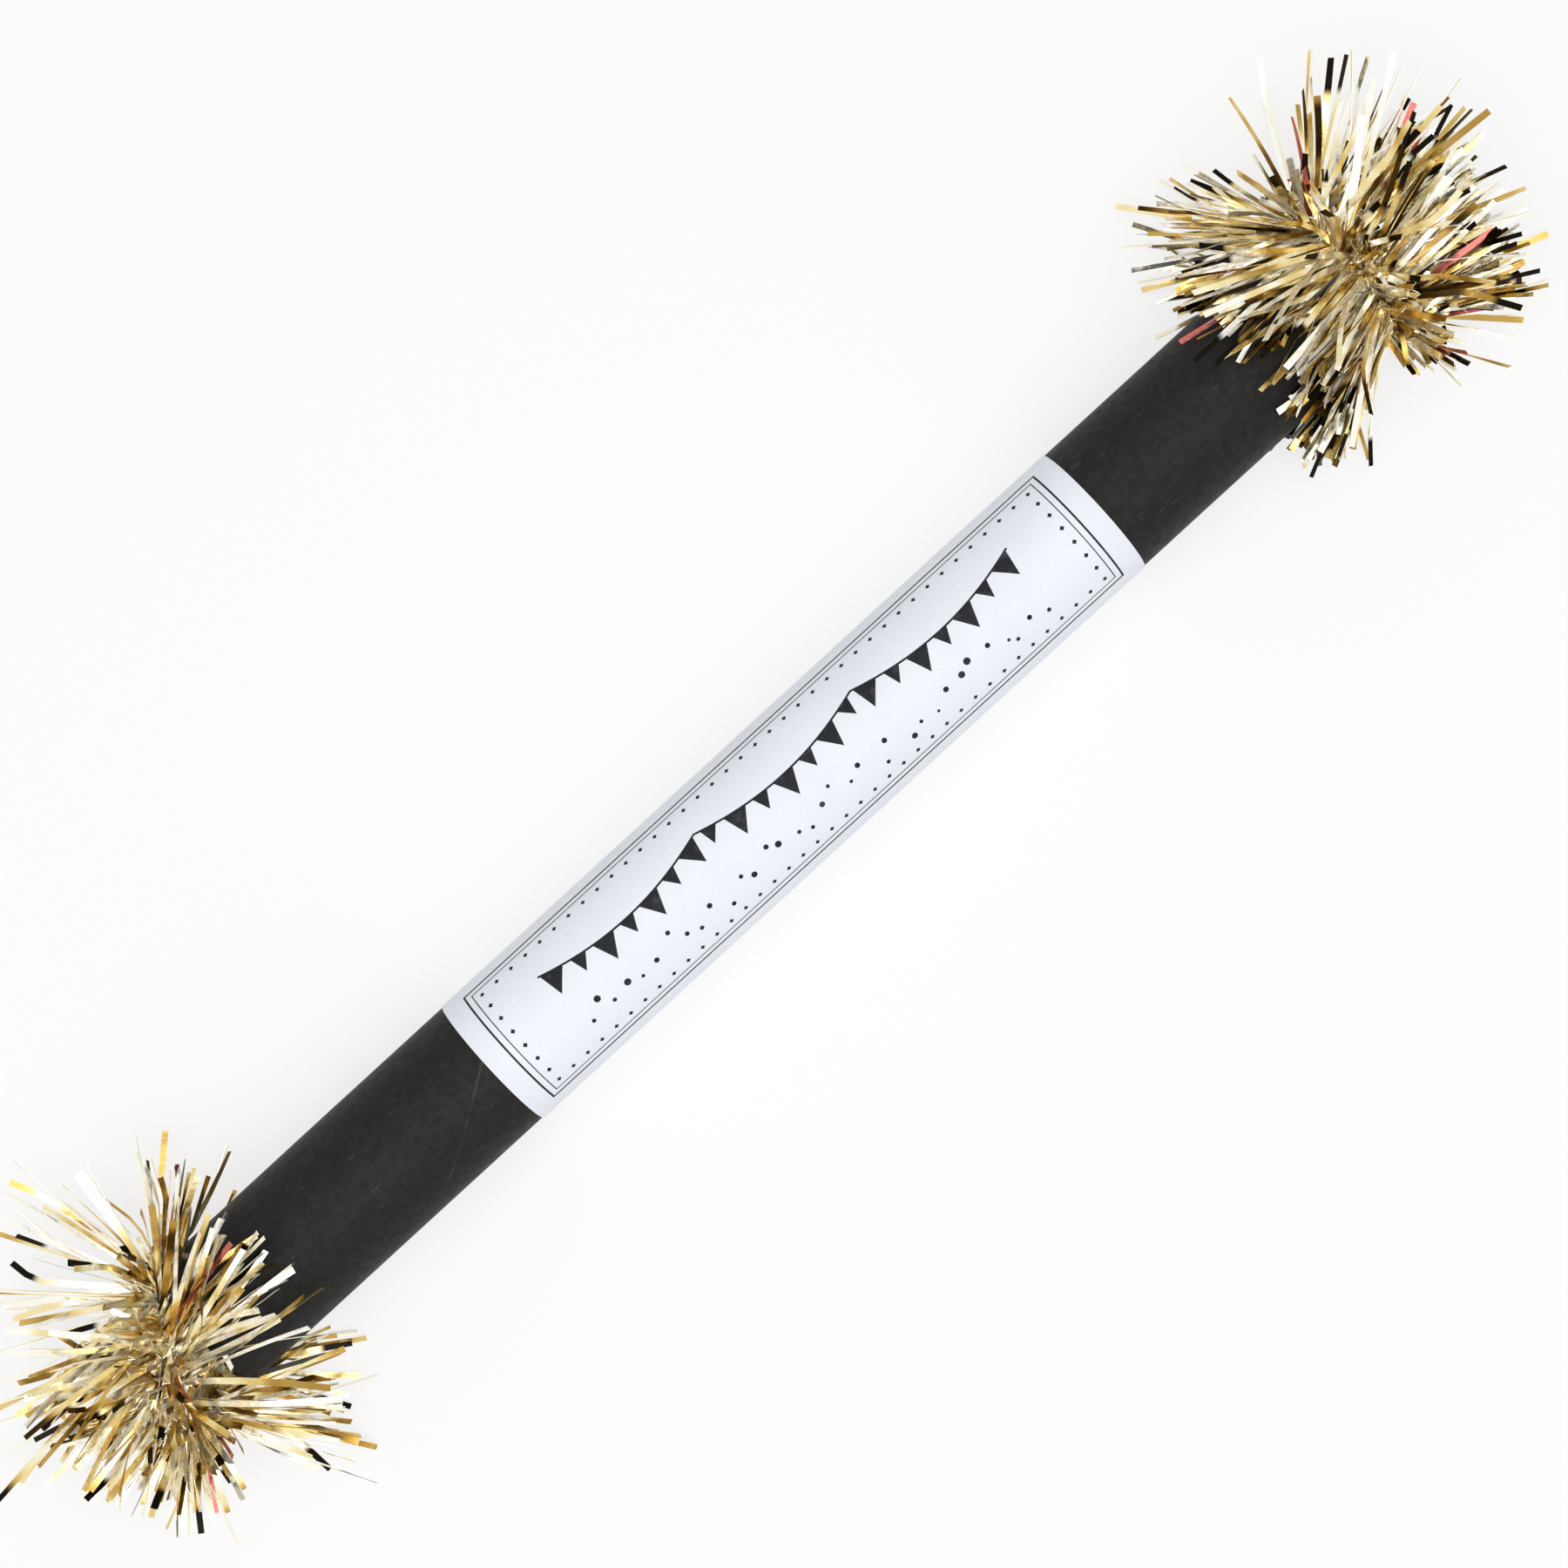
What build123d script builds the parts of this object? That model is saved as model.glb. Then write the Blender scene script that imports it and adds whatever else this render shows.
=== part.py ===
from build123d import *
from math import asin, atan, cos, degrees, radians, sin, sqrt
import os

# A gift tube of hand-held sparklers: a black paper-covered card tube with a white label band,
# sparklers inside, and a tuft of tinsel garland pushed into each mouth as a stopper.
# Millimetres. The origin lies on the tube's axis at mid length. +X runs to the right tuft, +Z is up,
# and the tube lies on its side.

# Sparklers
sparkler_length = 254.0
handle_length = 89.0
wire_diameter = 1.3
coating_diameter = 3.8
coating_nose_diameter = 2.4
coating_nose_length = 1.2
coating_runout_diameter = 2.0
coating_runout_length = 4.0
coating_tip = 1.5
coating_bond = 0.03
pile_rows = (3, 4, 3)
pile_gap = 0.3

# Card tube
tube_bore = 27.0
board_wall = 1.25
cover_wall = 0.2
glue_line = 0.05

# Label band, with the lap that closes it on the back
label_length = 164.0
label_shift = 8.0
label_wall = 0.15
label_lap = 8.0
label_ramp = 3.0
label_seam_angle = 212.0

# Garland core: a stem in the bore, a spoke and a wreath in front of the mouth
plug_depth = 24.0
sparkler_end_gap = 1.5
core_diameter = 1.2
core_bend = 2.5
wreath_radius = 13.0
wreath_offset = 7.0
wreath_end_angle = 340.0

# Tinsel fringe
root_wall = 0.55
root_fit = 0.05
strand_width = 1.3
strand_thickness = 0.2
strand_gap = 0.3
length_scatter = 0.22
rest_gap = 0.3
low_start_angle = 36.0
high_strand_count = 42
low_strand_count = 16
plug_strand_count = 24
cone_strand_count = 11
plug_lean = 40.0
plug_run = 9.0
cone_end = 2.5
cone_lean_back = 22.0
cone_lean_front = 10.0
front_lean = 27.0
low_front_lean = 5.0
strand_droop = 9.5

# Each tuft: its side, and the lengths of its strands in front, to the back and in the middle
tufts = {
    "right": {"side": 1, "front": 37.0, "back": 28.0, "middle": 40.0},
    "left": {"side": -1, "front": 33.0, "back": 30.0, "middle": 37.0},
}

# Sizes that follow from those
tube_length = sparkler_length + 2 * (plug_depth + sparkler_end_gap)
bore_radius = tube_bore / 2
board_radius = bore_radius + board_wall
cover_inner_radius = board_radius + glue_line
tube_radius = cover_inner_radius + cover_wall
label_inner_radius = tube_radius + glue_line
label_outer_radius = label_inner_radius + label_wall
lap_inner_radius = label_outer_radius + glue_line
lap_outer_radius = lap_inner_radius + label_wall
rest_height = -(label_outer_radius + rest_gap)
coating_length = sparkler_length - handle_length
root_inner_radius = core_diameter / 2 + root_fit
root_radius = root_inner_radius + root_wall
strand_root = root_inner_radius + root_wall / 2
cone_start = -plug_depth + plug_run + 2 * root_radius
golden_share = (sqrt(5) - 1) / 2

os.makedirs("parts", exist_ok=True)


def save(builder, name):
    """Label a finished piece and write its STEP file."""
    builder.part.label = name
    export_step(builder.part, f"parts/{name}.step")


def share(count):
    """A number from 0 to 1 that jumps evenly about as the count goes up."""
    return (count * golden_share) % 1.0


# Card tube: the board and its paper cover
with BuildPart() as tube_core:
    with BuildSketch(Plane.YZ.offset(-tube_length / 2)):
        Circle(board_radius)
        Circle(bore_radius, mode=Mode.SUBTRACT)
    extrude(amount=tube_length)
save(tube_core, "tube_core")

with BuildPart() as tube_cover:
    with BuildSketch(Plane.YZ.offset(-tube_length / 2)):
        Circle(tube_radius)
        Circle(cover_inner_radius, mode=Mode.SUBTRACT)
    extrude(amount=tube_length)
save(tube_cover, "tube_cover")

# Label band: one strip round the tube, whose end climbs a ramp and laps over its start
lap_angle = degrees(label_lap / lap_inner_radius)
ramp_angle = degrees(label_ramp / label_outer_radius)
turn_angle = 360.0 - ramp_angle
ramp_start = label_seam_angle + turn_angle


def polar(radius, angle):
    """A point of the tube's cross-section."""
    return (radius * cos(radians(angle)), radius * sin(radians(angle)))


with BuildPart() as label_band:
    with BuildSketch(Plane.YZ.offset(label_shift - label_length / 2)):
        with BuildLine():
            CenterArc((0, 0), label_inner_radius, label_seam_angle, turn_angle)
            Line(polar(label_inner_radius, ramp_start), polar(lap_inner_radius, label_seam_angle))
            CenterArc((0, 0), lap_inner_radius, label_seam_angle, lap_angle)
            Line(
                polar(lap_inner_radius, label_seam_angle + lap_angle),
                polar(lap_outer_radius, label_seam_angle + lap_angle),
            )
            CenterArc((0, 0), lap_outer_radius, label_seam_angle, lap_angle)
            Line(polar(lap_outer_radius, label_seam_angle), polar(label_outer_radius, ramp_start))
            CenterArc((0, 0), label_outer_radius, label_seam_angle, turn_angle)
            Line(
                polar(label_outer_radius, label_seam_angle),
                polar(label_inner_radius, label_seam_angle),
            )
        make_face()
    extrude(amount=label_length)
save(label_band, "label_band")

# Sparklers: a close pile in rows on the bottom of the bore, handles to the right
pile_pitch = coating_diameter + pile_gap
row_rise = pile_pitch * sqrt(3) / 2
bottom_half_width = (pile_rows[0] - 1) / 2 * pile_pitch
bottom_reach = bore_radius - coating_diameter / 2 - pile_gap
bottom_height = -sqrt(bottom_reach**2 - bottom_half_width**2)
tip_x = -sparkler_length / 2
coating_end_x = tip_x + coating_length

pile_spots = []
for row, count in enumerate(pile_rows):
    for place in range(count):
        pile_spots.append(((place - (count - 1) / 2) * pile_pitch, bottom_height + row * row_rise))

for number, (across, up) in enumerate(pile_spots, start=1):
    axis_plane = Plane(origin=(0, across, up), x_dir=(1, 0, 0), z_dir=(0, -1, 0))
    axis = Axis((0, across, up), (1, 0, 0))
    bore = wire_diameter / 2 + coating_bond

    with BuildPart() as wire:
        with BuildSketch(Plane.YZ.offset(tip_x + coating_tip)):
            with Locations((across, up)):
                Circle(wire_diameter / 2)
        extrude(amount=sparkler_length - coating_tip)
    save(wire, f"sparkler_{number:02d}_wire")

    with BuildPart() as coating:
        with BuildSketch(axis_plane):
            with BuildLine():
                Polyline(
                    (tip_x, 0),
                    (tip_x, coating_nose_diameter / 2),
                    (tip_x + coating_nose_length, coating_diameter / 2),
                    (coating_end_x - coating_runout_length, coating_diameter / 2),
                    (coating_end_x, coating_runout_diameter / 2),
                    (coating_end_x, bore),
                    (tip_x + coating_tip - coating_bond, bore),
                    (tip_x + coating_tip - coating_bond, 0),
                    close=True,
                )
            make_face()
        revolve(axis=axis)
    save(coating, f"sparkler_{number:02d}_coating")


# Tinsel tufts. Places in a tuft are given along the tube from its rim, across it and up.
# Angles round the wreath start at the bottom, where the spoke comes in.


def spot(side, along, across, up):
    """A place in the tuft on this side."""
    return Vector(side * (tube_length / 2 + along), side * across, up)


def heading(side, along, across, up):
    """A direction in the tuft on this side."""
    return Vector(side * along, side * across, up)


def wreath_spot(side, angle, radius=wreath_radius):
    """A place in the wreath's plane."""
    turn = radians(angle)
    return spot(side, wreath_offset, radius * sin(turn), -radius * cos(turn))


def outward(side, angle):
    """The direction away from the tube's axis at an angle."""
    return heading(side, 0, sin(radians(angle)), -cos(radians(angle)))


def around(side, angle):
    """The direction round the tube's axis at an angle."""
    return heading(side, 0, cos(radians(angle)), sin(radians(angle)))


def strand(root, direction, flat_normal, length):
    """One flat strand of foil, from inside its root band to its square-cut tip."""
    place = Plane(origin=root, x_dir=direction, z_dir=flat_normal)
    blade = Box(
        length,
        strand_width,
        strand_thickness,
        align=(Align.MIN, Align.CENTER, Align.CENTER),
        mode=Mode.PRIVATE,
    )
    return blade.moved(place.location)


def wreath_length(tuft, lean, count):
    """A wreath strand's length: long in front, short at the back, and uneven from strand to strand."""
    forward = (1 + cos(lean)) / 2
    mean = tuft["back"] + (tuft["front"] - tuft["back"]) * forward
    return mean * (1 + length_scatter * (share(count * 7) - 0.5))


def back_lean(angle):
    """How far back a strand can lean at this place of the wreath and still clear the tube's rim."""
    up = wreath_radius * cos(radians(angle))
    across = wreath_radius * sin(radians(angle))
    clear_radius = tube_radius + strand_gap + strand_width / 2
    if angle < 90:
        rim_reach = sqrt(clear_radius**2 - up**2) - across
    else:
        rim_reach = clear_radius - wreath_radius
    return radians(180) - atan(max(rim_reach, strand_gap) / (wreath_offset - root_radius))


def high_strand(tuft, angle, count):
    """A strand of the wreath's upper half, which stands straight out from the tube's axis."""
    side = tuft["side"]
    first = radians(front_lean)
    lean = first + share(count) * (back_lean(angle) - first)
    direction = outward(side, angle) * sin(lean) + heading(side, cos(lean), 0, 0)
    root = wreath_spot(side, angle) + direction * strand_root
    flat_normal = direction.cross(around(side, angle))
    return strand(root, direction, flat_normal, wreath_length(tuft, lean, count))


def low_strand(tuft, angle, count, hand):
    """A strand of the wreath's lower half, which lies out sideways and sinks to the ground."""
    side = tuft["side"]
    first = radians(low_front_lean)
    lean = first + share(count) * (back_lean(angle) - first)
    droop = radians(strand_droop)
    level = heading(side, cos(lean), hand * sin(lean), 0)
    direction = level * cos(droop) + Vector(0, 0, -sin(droop))
    tangent = around(side, hand * angle)
    leaving = (direction - tangent * direction.dot(tangent)).normalized()
    root = wreath_spot(side, hand * angle) + leaving * strand_root
    flat_normal = Vector(0, 0, 1) - direction * direction.Z
    room = (root.Z - rest_height - strand_thickness) / sin(droop)
    return strand(root, direction, flat_normal, min(room, wreath_length(tuft, lean, count)))


def plug_strand(side, count):
    """A strand of the stem inside the bore, which springs out against the wall."""
    angle = 360.0 * share(count)
    lean = radians(plug_lean)
    along = -plug_depth + root_radius + plug_run * count / plug_strand_count
    direction = outward(side, angle) * sin(lean) + heading(side, cos(lean), 0, 0)
    root = spot(side, along, 0, 0) + outward(side, angle) * strand_root
    length = (bore_radius - strand_gap - strand_root) / sin(lean)
    return strand(root, direction, direction.cross(around(side, angle)), length)


def cone_strand(tuft, count):
    """A strand of the stem that stands out of the mouth, in the upper half of the wreath's middle."""
    side = tuft["side"]
    step = count / (cone_strand_count - 1)
    angle = 90.0 + 180.0 * share(count)
    lean = radians(cone_lean_back + (cone_lean_front - cone_lean_back) * step)
    along = cone_start + (cone_end - cone_start) * step
    direction = outward(side, angle) * sin(lean) + heading(side, cos(lean), 0, 0)
    root = spot(side, along, 0, 0) + outward(side, angle) * strand_root
    length = (tuft["middle"] - along) / cos(lean) * (1 - length_scatter * share(count * 7))
    return strand(root, direction, direction.cross(around(side, angle)), length)


def core_path(side):
    """The core's line: the stem, the bend to the spoke, the spoke and the wreath."""
    bend_radius = wreath_radius - core_bend
    bend_depth = sqrt(bend_radius**2 - core_bend**2)
    join_angle = degrees(asin(core_bend / bend_radius))
    half_turn = radians(180 + (90 + join_angle) / 2)
    stem_bend = core_bend * (1 - sin(radians(45)))
    Line(spot(side, -plug_depth, 0, 0), spot(side, wreath_offset - core_bend, 0, 0))
    ThreePointArc(
        spot(side, wreath_offset - core_bend, 0, 0),
        spot(side, wreath_offset - stem_bend, 0, -stem_bend),
        spot(side, wreath_offset, 0, -core_bend),
    )
    Line(spot(side, wreath_offset, 0, -core_bend), spot(side, wreath_offset, 0, -bend_depth))
    ThreePointArc(
        spot(side, wreath_offset, 0, -bend_depth),
        spot(
            side,
            wreath_offset,
            core_bend + core_bend * cos(half_turn),
            -bend_depth + core_bend * sin(half_turn),
        ),
        wreath_spot(side, join_angle),
    )
    stops = [join_angle, 90.0, 180.0, 270.0, wreath_end_angle]
    for start, end in zip(stops, stops[1:]):
        ThreePointArc(
            wreath_spot(side, start),
            wreath_spot(side, (start + end) / 2),
            wreath_spot(side, end),
        )


def wreath_fringe(name, tuft, start, end, strands):
    """One stretch of the wreath's fringe: its root band, folded square round the core, and its strands."""
    side = tuft["side"]
    part_gap = degrees(root_fit / wreath_radius)
    first = start + part_gap
    section = Plane(wreath_spot(side, first), x_dir=outward(side, first), z_dir=around(side, first))
    with BuildPart() as fringe:
        with BuildSketch(section):
            Rectangle(2 * root_radius, 2 * root_radius)
            Rectangle(2 * root_inner_radius, 2 * root_inner_radius, mode=Mode.SUBTRACT)
        revolve(axis=Axis((0, 0, 0), (side, 0, 0)), revolution_arc=end - start - 2 * part_gap)
        add(strands)
    save(fringe, name)


def angles_between(start, end, count):
    """Evenly spaced angles for a stretch's strands, kept off its ends by a strand's width."""
    margin = degrees(strand_width / wreath_radius)
    step = (end - start - 2 * margin) / (count - 1)
    return [start + margin + step * number for number in range(count)]


for tuft_name, tuft in tufts.items():
    side = tuft["side"]

    with BuildPart() as garland_core:
        with BuildLine() as core_line:
            core_path(side)
        with BuildSketch(Plane(origin=core_line.line @ 0, z_dir=core_line.line % 0)):
            Circle(core_diameter / 2)
        sweep(path=core_line.line)
    save(garland_core, f"{tuft_name}_garland_core")

    with BuildPart() as middle_fringe:
        with BuildSketch(Plane(spot(side, -plug_depth, 0, 0), x_dir=(0, 1, 0), z_dir=(side, 0, 0))):
            Rectangle(2 * root_radius, 2 * root_radius)
            Rectangle(2 * root_inner_radius, 2 * root_inner_radius, mode=Mode.SUBTRACT)
        extrude(amount=plug_depth + cone_end + strand_root)
        plugs = [plug_strand(side, count) for count in range(plug_strand_count)]
        cones = [cone_strand(tuft, count) for count in range(cone_strand_count)]
        add(plugs + cones)
    save(middle_fringe, f"{tuft_name}_fringe_middle")

    high = angles_between(90.0, 180.0, high_strand_count)
    low = angles_between(low_start_angle, 90.0, low_strand_count)
    back_high = [high_strand(tuft, angle, count) for count, angle in enumerate(high)]
    front_high = [high_strand(tuft, 360.0 - angle, count + 5) for count, angle in enumerate(high)]
    back_low = [low_strand(tuft, angle, count, 1) for count, angle in enumerate(low)]
    front_low = [low_strand(tuft, angle, count + 5, -1) for count, angle in enumerate(low)]
    wreath_fringe(f"{tuft_name}_fringe_back_low", tuft, low_start_angle, 90.0, back_low)
    wreath_fringe(f"{tuft_name}_fringe_back_high", tuft, 90.0, 180.0, back_high)
    wreath_fringe(f"{tuft_name}_fringe_front_high", tuft, 180.0, 270.0, front_high)
    wreath_fringe(f"{tuft_name}_fringe_front_low", tuft, 270.0, 360.0 - low_start_angle, front_low)
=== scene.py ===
"""Dress a gift tube of hand-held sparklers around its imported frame.

The tube lies on its side: black paper over wound card, a white printed label band, a tuft of gold tinsel
garland in each mouth and ten sparklers in the bore. Everything is in metres, in the frame's own axes: +X
runs along the tube to the right tuft and +Z is up.
"""
from __future__ import annotations

import logging
import math
from dataclasses import dataclass, fields, replace
from enum import Enum
from typing import Callable, Sequence

import bmesh
import bpy
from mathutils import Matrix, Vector, noise

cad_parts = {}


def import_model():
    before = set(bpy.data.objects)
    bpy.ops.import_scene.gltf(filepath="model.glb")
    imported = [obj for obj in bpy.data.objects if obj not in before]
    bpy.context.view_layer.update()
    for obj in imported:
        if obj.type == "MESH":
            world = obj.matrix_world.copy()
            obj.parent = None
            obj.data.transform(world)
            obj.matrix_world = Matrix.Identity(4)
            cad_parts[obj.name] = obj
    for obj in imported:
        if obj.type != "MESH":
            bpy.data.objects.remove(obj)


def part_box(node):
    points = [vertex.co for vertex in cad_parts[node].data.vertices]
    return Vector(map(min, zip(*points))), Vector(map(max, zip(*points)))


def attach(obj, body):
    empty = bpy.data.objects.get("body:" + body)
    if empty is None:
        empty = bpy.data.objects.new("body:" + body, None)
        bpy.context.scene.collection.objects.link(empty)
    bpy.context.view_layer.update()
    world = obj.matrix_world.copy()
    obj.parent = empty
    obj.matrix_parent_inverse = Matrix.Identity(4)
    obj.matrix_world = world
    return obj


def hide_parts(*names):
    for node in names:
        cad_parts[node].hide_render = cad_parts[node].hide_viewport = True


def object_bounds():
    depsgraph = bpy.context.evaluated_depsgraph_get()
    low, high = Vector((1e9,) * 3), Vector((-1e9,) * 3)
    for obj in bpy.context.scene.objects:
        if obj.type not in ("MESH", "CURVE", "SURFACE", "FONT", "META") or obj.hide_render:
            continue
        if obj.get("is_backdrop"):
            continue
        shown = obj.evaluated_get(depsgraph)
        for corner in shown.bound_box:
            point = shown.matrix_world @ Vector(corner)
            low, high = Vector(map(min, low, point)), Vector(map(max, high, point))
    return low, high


LOG = logging.getLogger("sparkler_tube")
MM = 0.001
SPARKLER_COUNT = 10
WHITE = (1.0, 1.0, 1.0)
ORIGIN = (0.0, 0.0, 0.0)
ROUND_TUBE = (0.0, 1.0, 1.0)
LATHE_SHARP = math.radians(50)
BAND_SHARP = math.radians(40)
STRAND_SHARP = math.radians(60)

Colour = tuple[float, float, float]
Span = tuple[float, float]
Ripple = Callable[[Vector], float]
Socket = bpy.types.NodeSocket
Node = bpy.types.Node
Tree = bpy.types.NodeTree
Material = bpy.types.Material
Piece = bpy.types.Object


# Node helpers


class Value:
    """A node's output that plain signs reckon with: each sign adds one math node to its tree."""

    def __init__(self, pen: Pen, socket: Socket) -> None:
        """Keep the output and the pen of its tree."""
        self.pen = pen
        self.socket = socket

    @property
    def is_vector(self) -> bool:
        """Whether the output is a vector."""
        return self.socket.type == "VECTOR"

    def join(self, operation: str, *values: object) -> Value:
        """The result of one math node, which is a vector one if this value is a vector."""
        return (self.pen.vector if self.is_vector else self.pen.math)(operation, *values)

    def __add__(self, other: object) -> Value:
        """The sum."""
        return self.join("ADD", self, other)

    def __sub__(self, other: object) -> Value:
        """The difference."""
        return self.join("SUBTRACT", self, other)

    def __rsub__(self, other: float) -> Value:
        """A plain number less this one."""
        return self.join("SUBTRACT", other, self)

    def __mul__(self, other: object) -> Value:
        """The product. A vector is multiplied by a tuple, and scaled by a number."""
        scales = self.is_vector and not isinstance(other, tuple)
        return self.pen.scaled(self, other) if scales else self.join("MULTIPLY", self, other)

    def __truediv__(self, other: object) -> Value:
        """The quotient."""
        return self.join("DIVIDE", self, other)

    def __abs__(self) -> Value:
        """The value without its sign."""
        return self.join("ABSOLUTE", self)


class Pen:
    """Adds nodes to a tree and joins them up."""

    def __init__(self, tree: Tree) -> None:
        """Keep the tree that is drawn on."""
        self.tree = tree

    def feed(self, target: Socket, value: object) -> None:
        """Join a value to an input, or set the input to a plain one.

        Args:
            target: The input.
            value: The value; a plain colour gets its alpha here.
        """
        if isinstance(value, Value):
            self.tree.links.new(value.socket, target)
        else:
            target.default_value = (*value, 1.0) if target.type == "RGBA" else value

    def node(self, kind: str, inputs: dict | None = None, **settings: object) -> Node:
        """Add one node.

        Args:
            kind: The node's type.
            inputs: Values to join or set, by the input's name or number.
            settings: The node's own properties, set before its inputs.

        Returns:
            The new node.
        """
        node = self.tree.nodes.new(kind)
        for name, value in settings.items():
            setattr(node, name, value)
        for key, value in (inputs or {}).items():
            self.feed(node.inputs[key], value)
        return node

    def add(self, kind: str, inputs: dict | None = None, output: int | str = 0, **settings: object) -> Value:
        """Add one node and take one of its outputs."""
        return Value(self, self.node(kind, inputs, **settings).outputs[output])

    def math(self, operation: str, *values: object) -> Value:
        """The result of one math node."""
        return self.add("ShaderNodeMath", dict(enumerate(values)), operation=operation)

    def vector(self, operation: str, *values: object) -> Value:
        """The vector that one vector math node gives."""
        return self.add("ShaderNodeVectorMath", dict(enumerate(values)), operation=operation)

    def larger(self, first: Value, second: object) -> Value:
        """The larger of two numbers."""
        return self.math("MAXIMUM", first, second)

    def below(self, first: Value, second: object) -> Value:
        """One where the first number is below the second, and nought elsewhere."""
        return self.math("LESS_THAN", first, second)

    def scaled(self, vector: Value, factor: object) -> Value:
        """A vector made longer or shorter by a factor."""
        return self.add("ShaderNodeVectorMath", {0: vector, "Scale": factor}, operation="SCALE")

    def length(self, vector: Value) -> Value:
        """A vector's length."""
        return self.add("ShaderNodeVectorMath", {0: vector}, "Value", operation="LENGTH")

    def combine(self, x: object, y: object = 0.0, z: object = 0.0) -> Value:
        """A vector from its three numbers."""
        return self.add("ShaderNodeCombineXYZ", {0: x, 1: y, 2: z})

    def split(self, vector: Value) -> list[Value]:
        """The three numbers of a vector."""
        return [Value(self, part) for part in self.node("ShaderNodeSeparateXYZ", {0: vector}).outputs]

    def span(self, value: Value, low: float, high: float, to_low: float = 0.0, to_high: float = 1.0) -> Value:
        """A number moved smoothly from one span to another, and kept inside it.

        Args:
            value: The number to move.
            low: The start of its own span.
            high: The end of its own span.
            to_low: What the start becomes.
            to_high: What the end becomes.

        Returns:
            The moved number.
        """
        inputs = {0: value, 1: low, 2: high, 3: to_low, 4: to_high}
        return self.add("ShaderNodeMapRange", inputs, interpolation_type="SMOOTHSTEP")

    def tint(self, factor: Value, first: object, second: object) -> Value:
        """Two colours mixed by a factor."""
        return self.add("ShaderNodeMix", {0: factor, 6: first, 7: second}, 2, data_type="RGBA")

    def grain(self, vector: Value, scale: object, detail: float = 2.0, roughness: float = 0.5) -> Value:
        """A noise texture's value."""
        inputs = {"Vector": vector, "Scale": scale, "Detail": detail, "Roughness": roughness}
        return self.add("ShaderNodeTexNoise", inputs)


class TreeKind(Enum):
    """The two kinds of node group that the scene makes."""

    GEOMETRY = "GeometryNodeTree"
    SHADER = "ShaderNodeTree"


class Group(Pen):
    """A pen on a new node group, with the group's two ends."""

    def __init__(self, name: str, kind: TreeKind, inputs: dict[str, str], outputs: dict[str, str]) -> None:
        """Make an empty group.

        Args:
            name: The group's name.
            kind: Geometry or shader.
            inputs: Socket kinds, such as Float or Vector, by input name.
            outputs: Socket kinds by output name.
        """
        super().__init__(bpy.data.node_groups.new(name, kind.value))
        for way, sockets in (("INPUT", inputs), ("OUTPUT", outputs)):
            for label, socket in sockets.items():
                self.tree.interface.new_socket(name=label, in_out=way, socket_type=f"NodeSocket{socket}")
        self.inlet = self.node("NodeGroupInput")
        self.outlet = self.node("NodeGroupOutput")

    def __getitem__(self, label: str) -> Value:
        """One of the group's inputs."""
        return Value(self, self.inlet.outputs[label])

    def give(self, **values: Value) -> Tree:
        """Send values out of the group.

        Args:
            values: The values by output name.

        Returns:
            The finished tree.
        """
        for label, value in values.items():
            self.feed(self.outlet.inputs[label], value)
        return self.tree


class Grower(Group):
    """A pen on a new geometry tree, which gives one geometry."""

    def __init__(self, name: str, inputs: dict[str, str]) -> None:
        """Start the tree with its inputs."""
        super().__init__(name, TreeKind.GEOMETRY, inputs, {"Geometry": "Geometry"})

    @property
    def place(self) -> Value:
        """Each point's place."""
        return self.geo("InputPosition")

    def geo(self, kind: str, inputs: dict | None = None, output: int | str = 0, **settings: object) -> Value:
        """Add one geometry node and take one of its outputs."""
        return self.add(f"GeometryNode{kind}", inputs, output, **settings)

    def chance(self, low: object, high: object, number: Value, seed: object) -> Value:
        """A random number that belongs to a point's number."""
        inputs = {2: low, 3: high, 7: number, 8: seed}
        return self.add("FunctionNodeRandomValue", inputs, 1, data_type="FLOAT")

    def moved(self, shape: Value, place: object = ORIGIN, turn: object = ORIGIN) -> Value:
        """A shape turned and moved."""
        return self.geo("Transform", {"Geometry": shape, "Translation": place, "Rotation": turn})

    def placed(self, shape: Value, place: Value) -> Value:
        """A shape with its points put at new places."""
        return self.geo("SetPosition", {"Geometry": shape, "Position": place})

    def strip(self, line: Value, width: object, height: object, scale: object = 1.0) -> Value:
        """A closed flat strip along a line.

        Args:
            line: The line that the strip follows.
            width: The strip's width.
            height: Its thickness.
            scale: The factor on both at each point.

        Returns:
            The strip.
        """
        size = {"Width": width, "Height": height}
        profile = self.geo("CurvePrimitiveQuadrilateral", size, mode="RECTANGLE")
        inputs = {"Curve": line, "Profile Curve": profile, "Scale": scale, "Fill Caps": True}
        return self.geo("CurveToMesh", inputs)

    def joined(self, shapes: Sequence[Value]) -> Value:
        """Join several shapes.

        Args:
            shapes: The shapes, in the order that they keep.

        Returns:
            One real geometry.
        """
        join = self.node("GeometryNodeJoinGeometry")
        for shape in shapes:
            self.feed(join.inputs[0], shape)
        return self.geo("RealizeInstances", {"Geometry": Value(self, join.outputs[0])})

    def coated(self, shape: Value, material: Material) -> Tree:
        """Give a shape its material and send it out of the tree, which is returned."""
        return self.give(Geometry=self.geo("SetMaterial", {"Geometry": shape, "Material": material}))


def floats(*labels: str) -> dict[str, str]:
    """Number sockets of these names."""
    return dict.fromkeys(labels, "Float")


def titled(name: str) -> str:
    """The socket label that belongs to a field's name."""
    return name.replace("_", " ").title()


def cleared(owner: Material | bpy.types.World) -> Tree:
    """Empty the node tree of a material or a world.

    Args:
        owner: The material or the world.

    Returns:
        The empty tree.
    """
    owner.use_nodes = True
    owner.node_tree.nodes.clear()
    return owner.node_tree


# Shader groups that several finishes share


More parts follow.
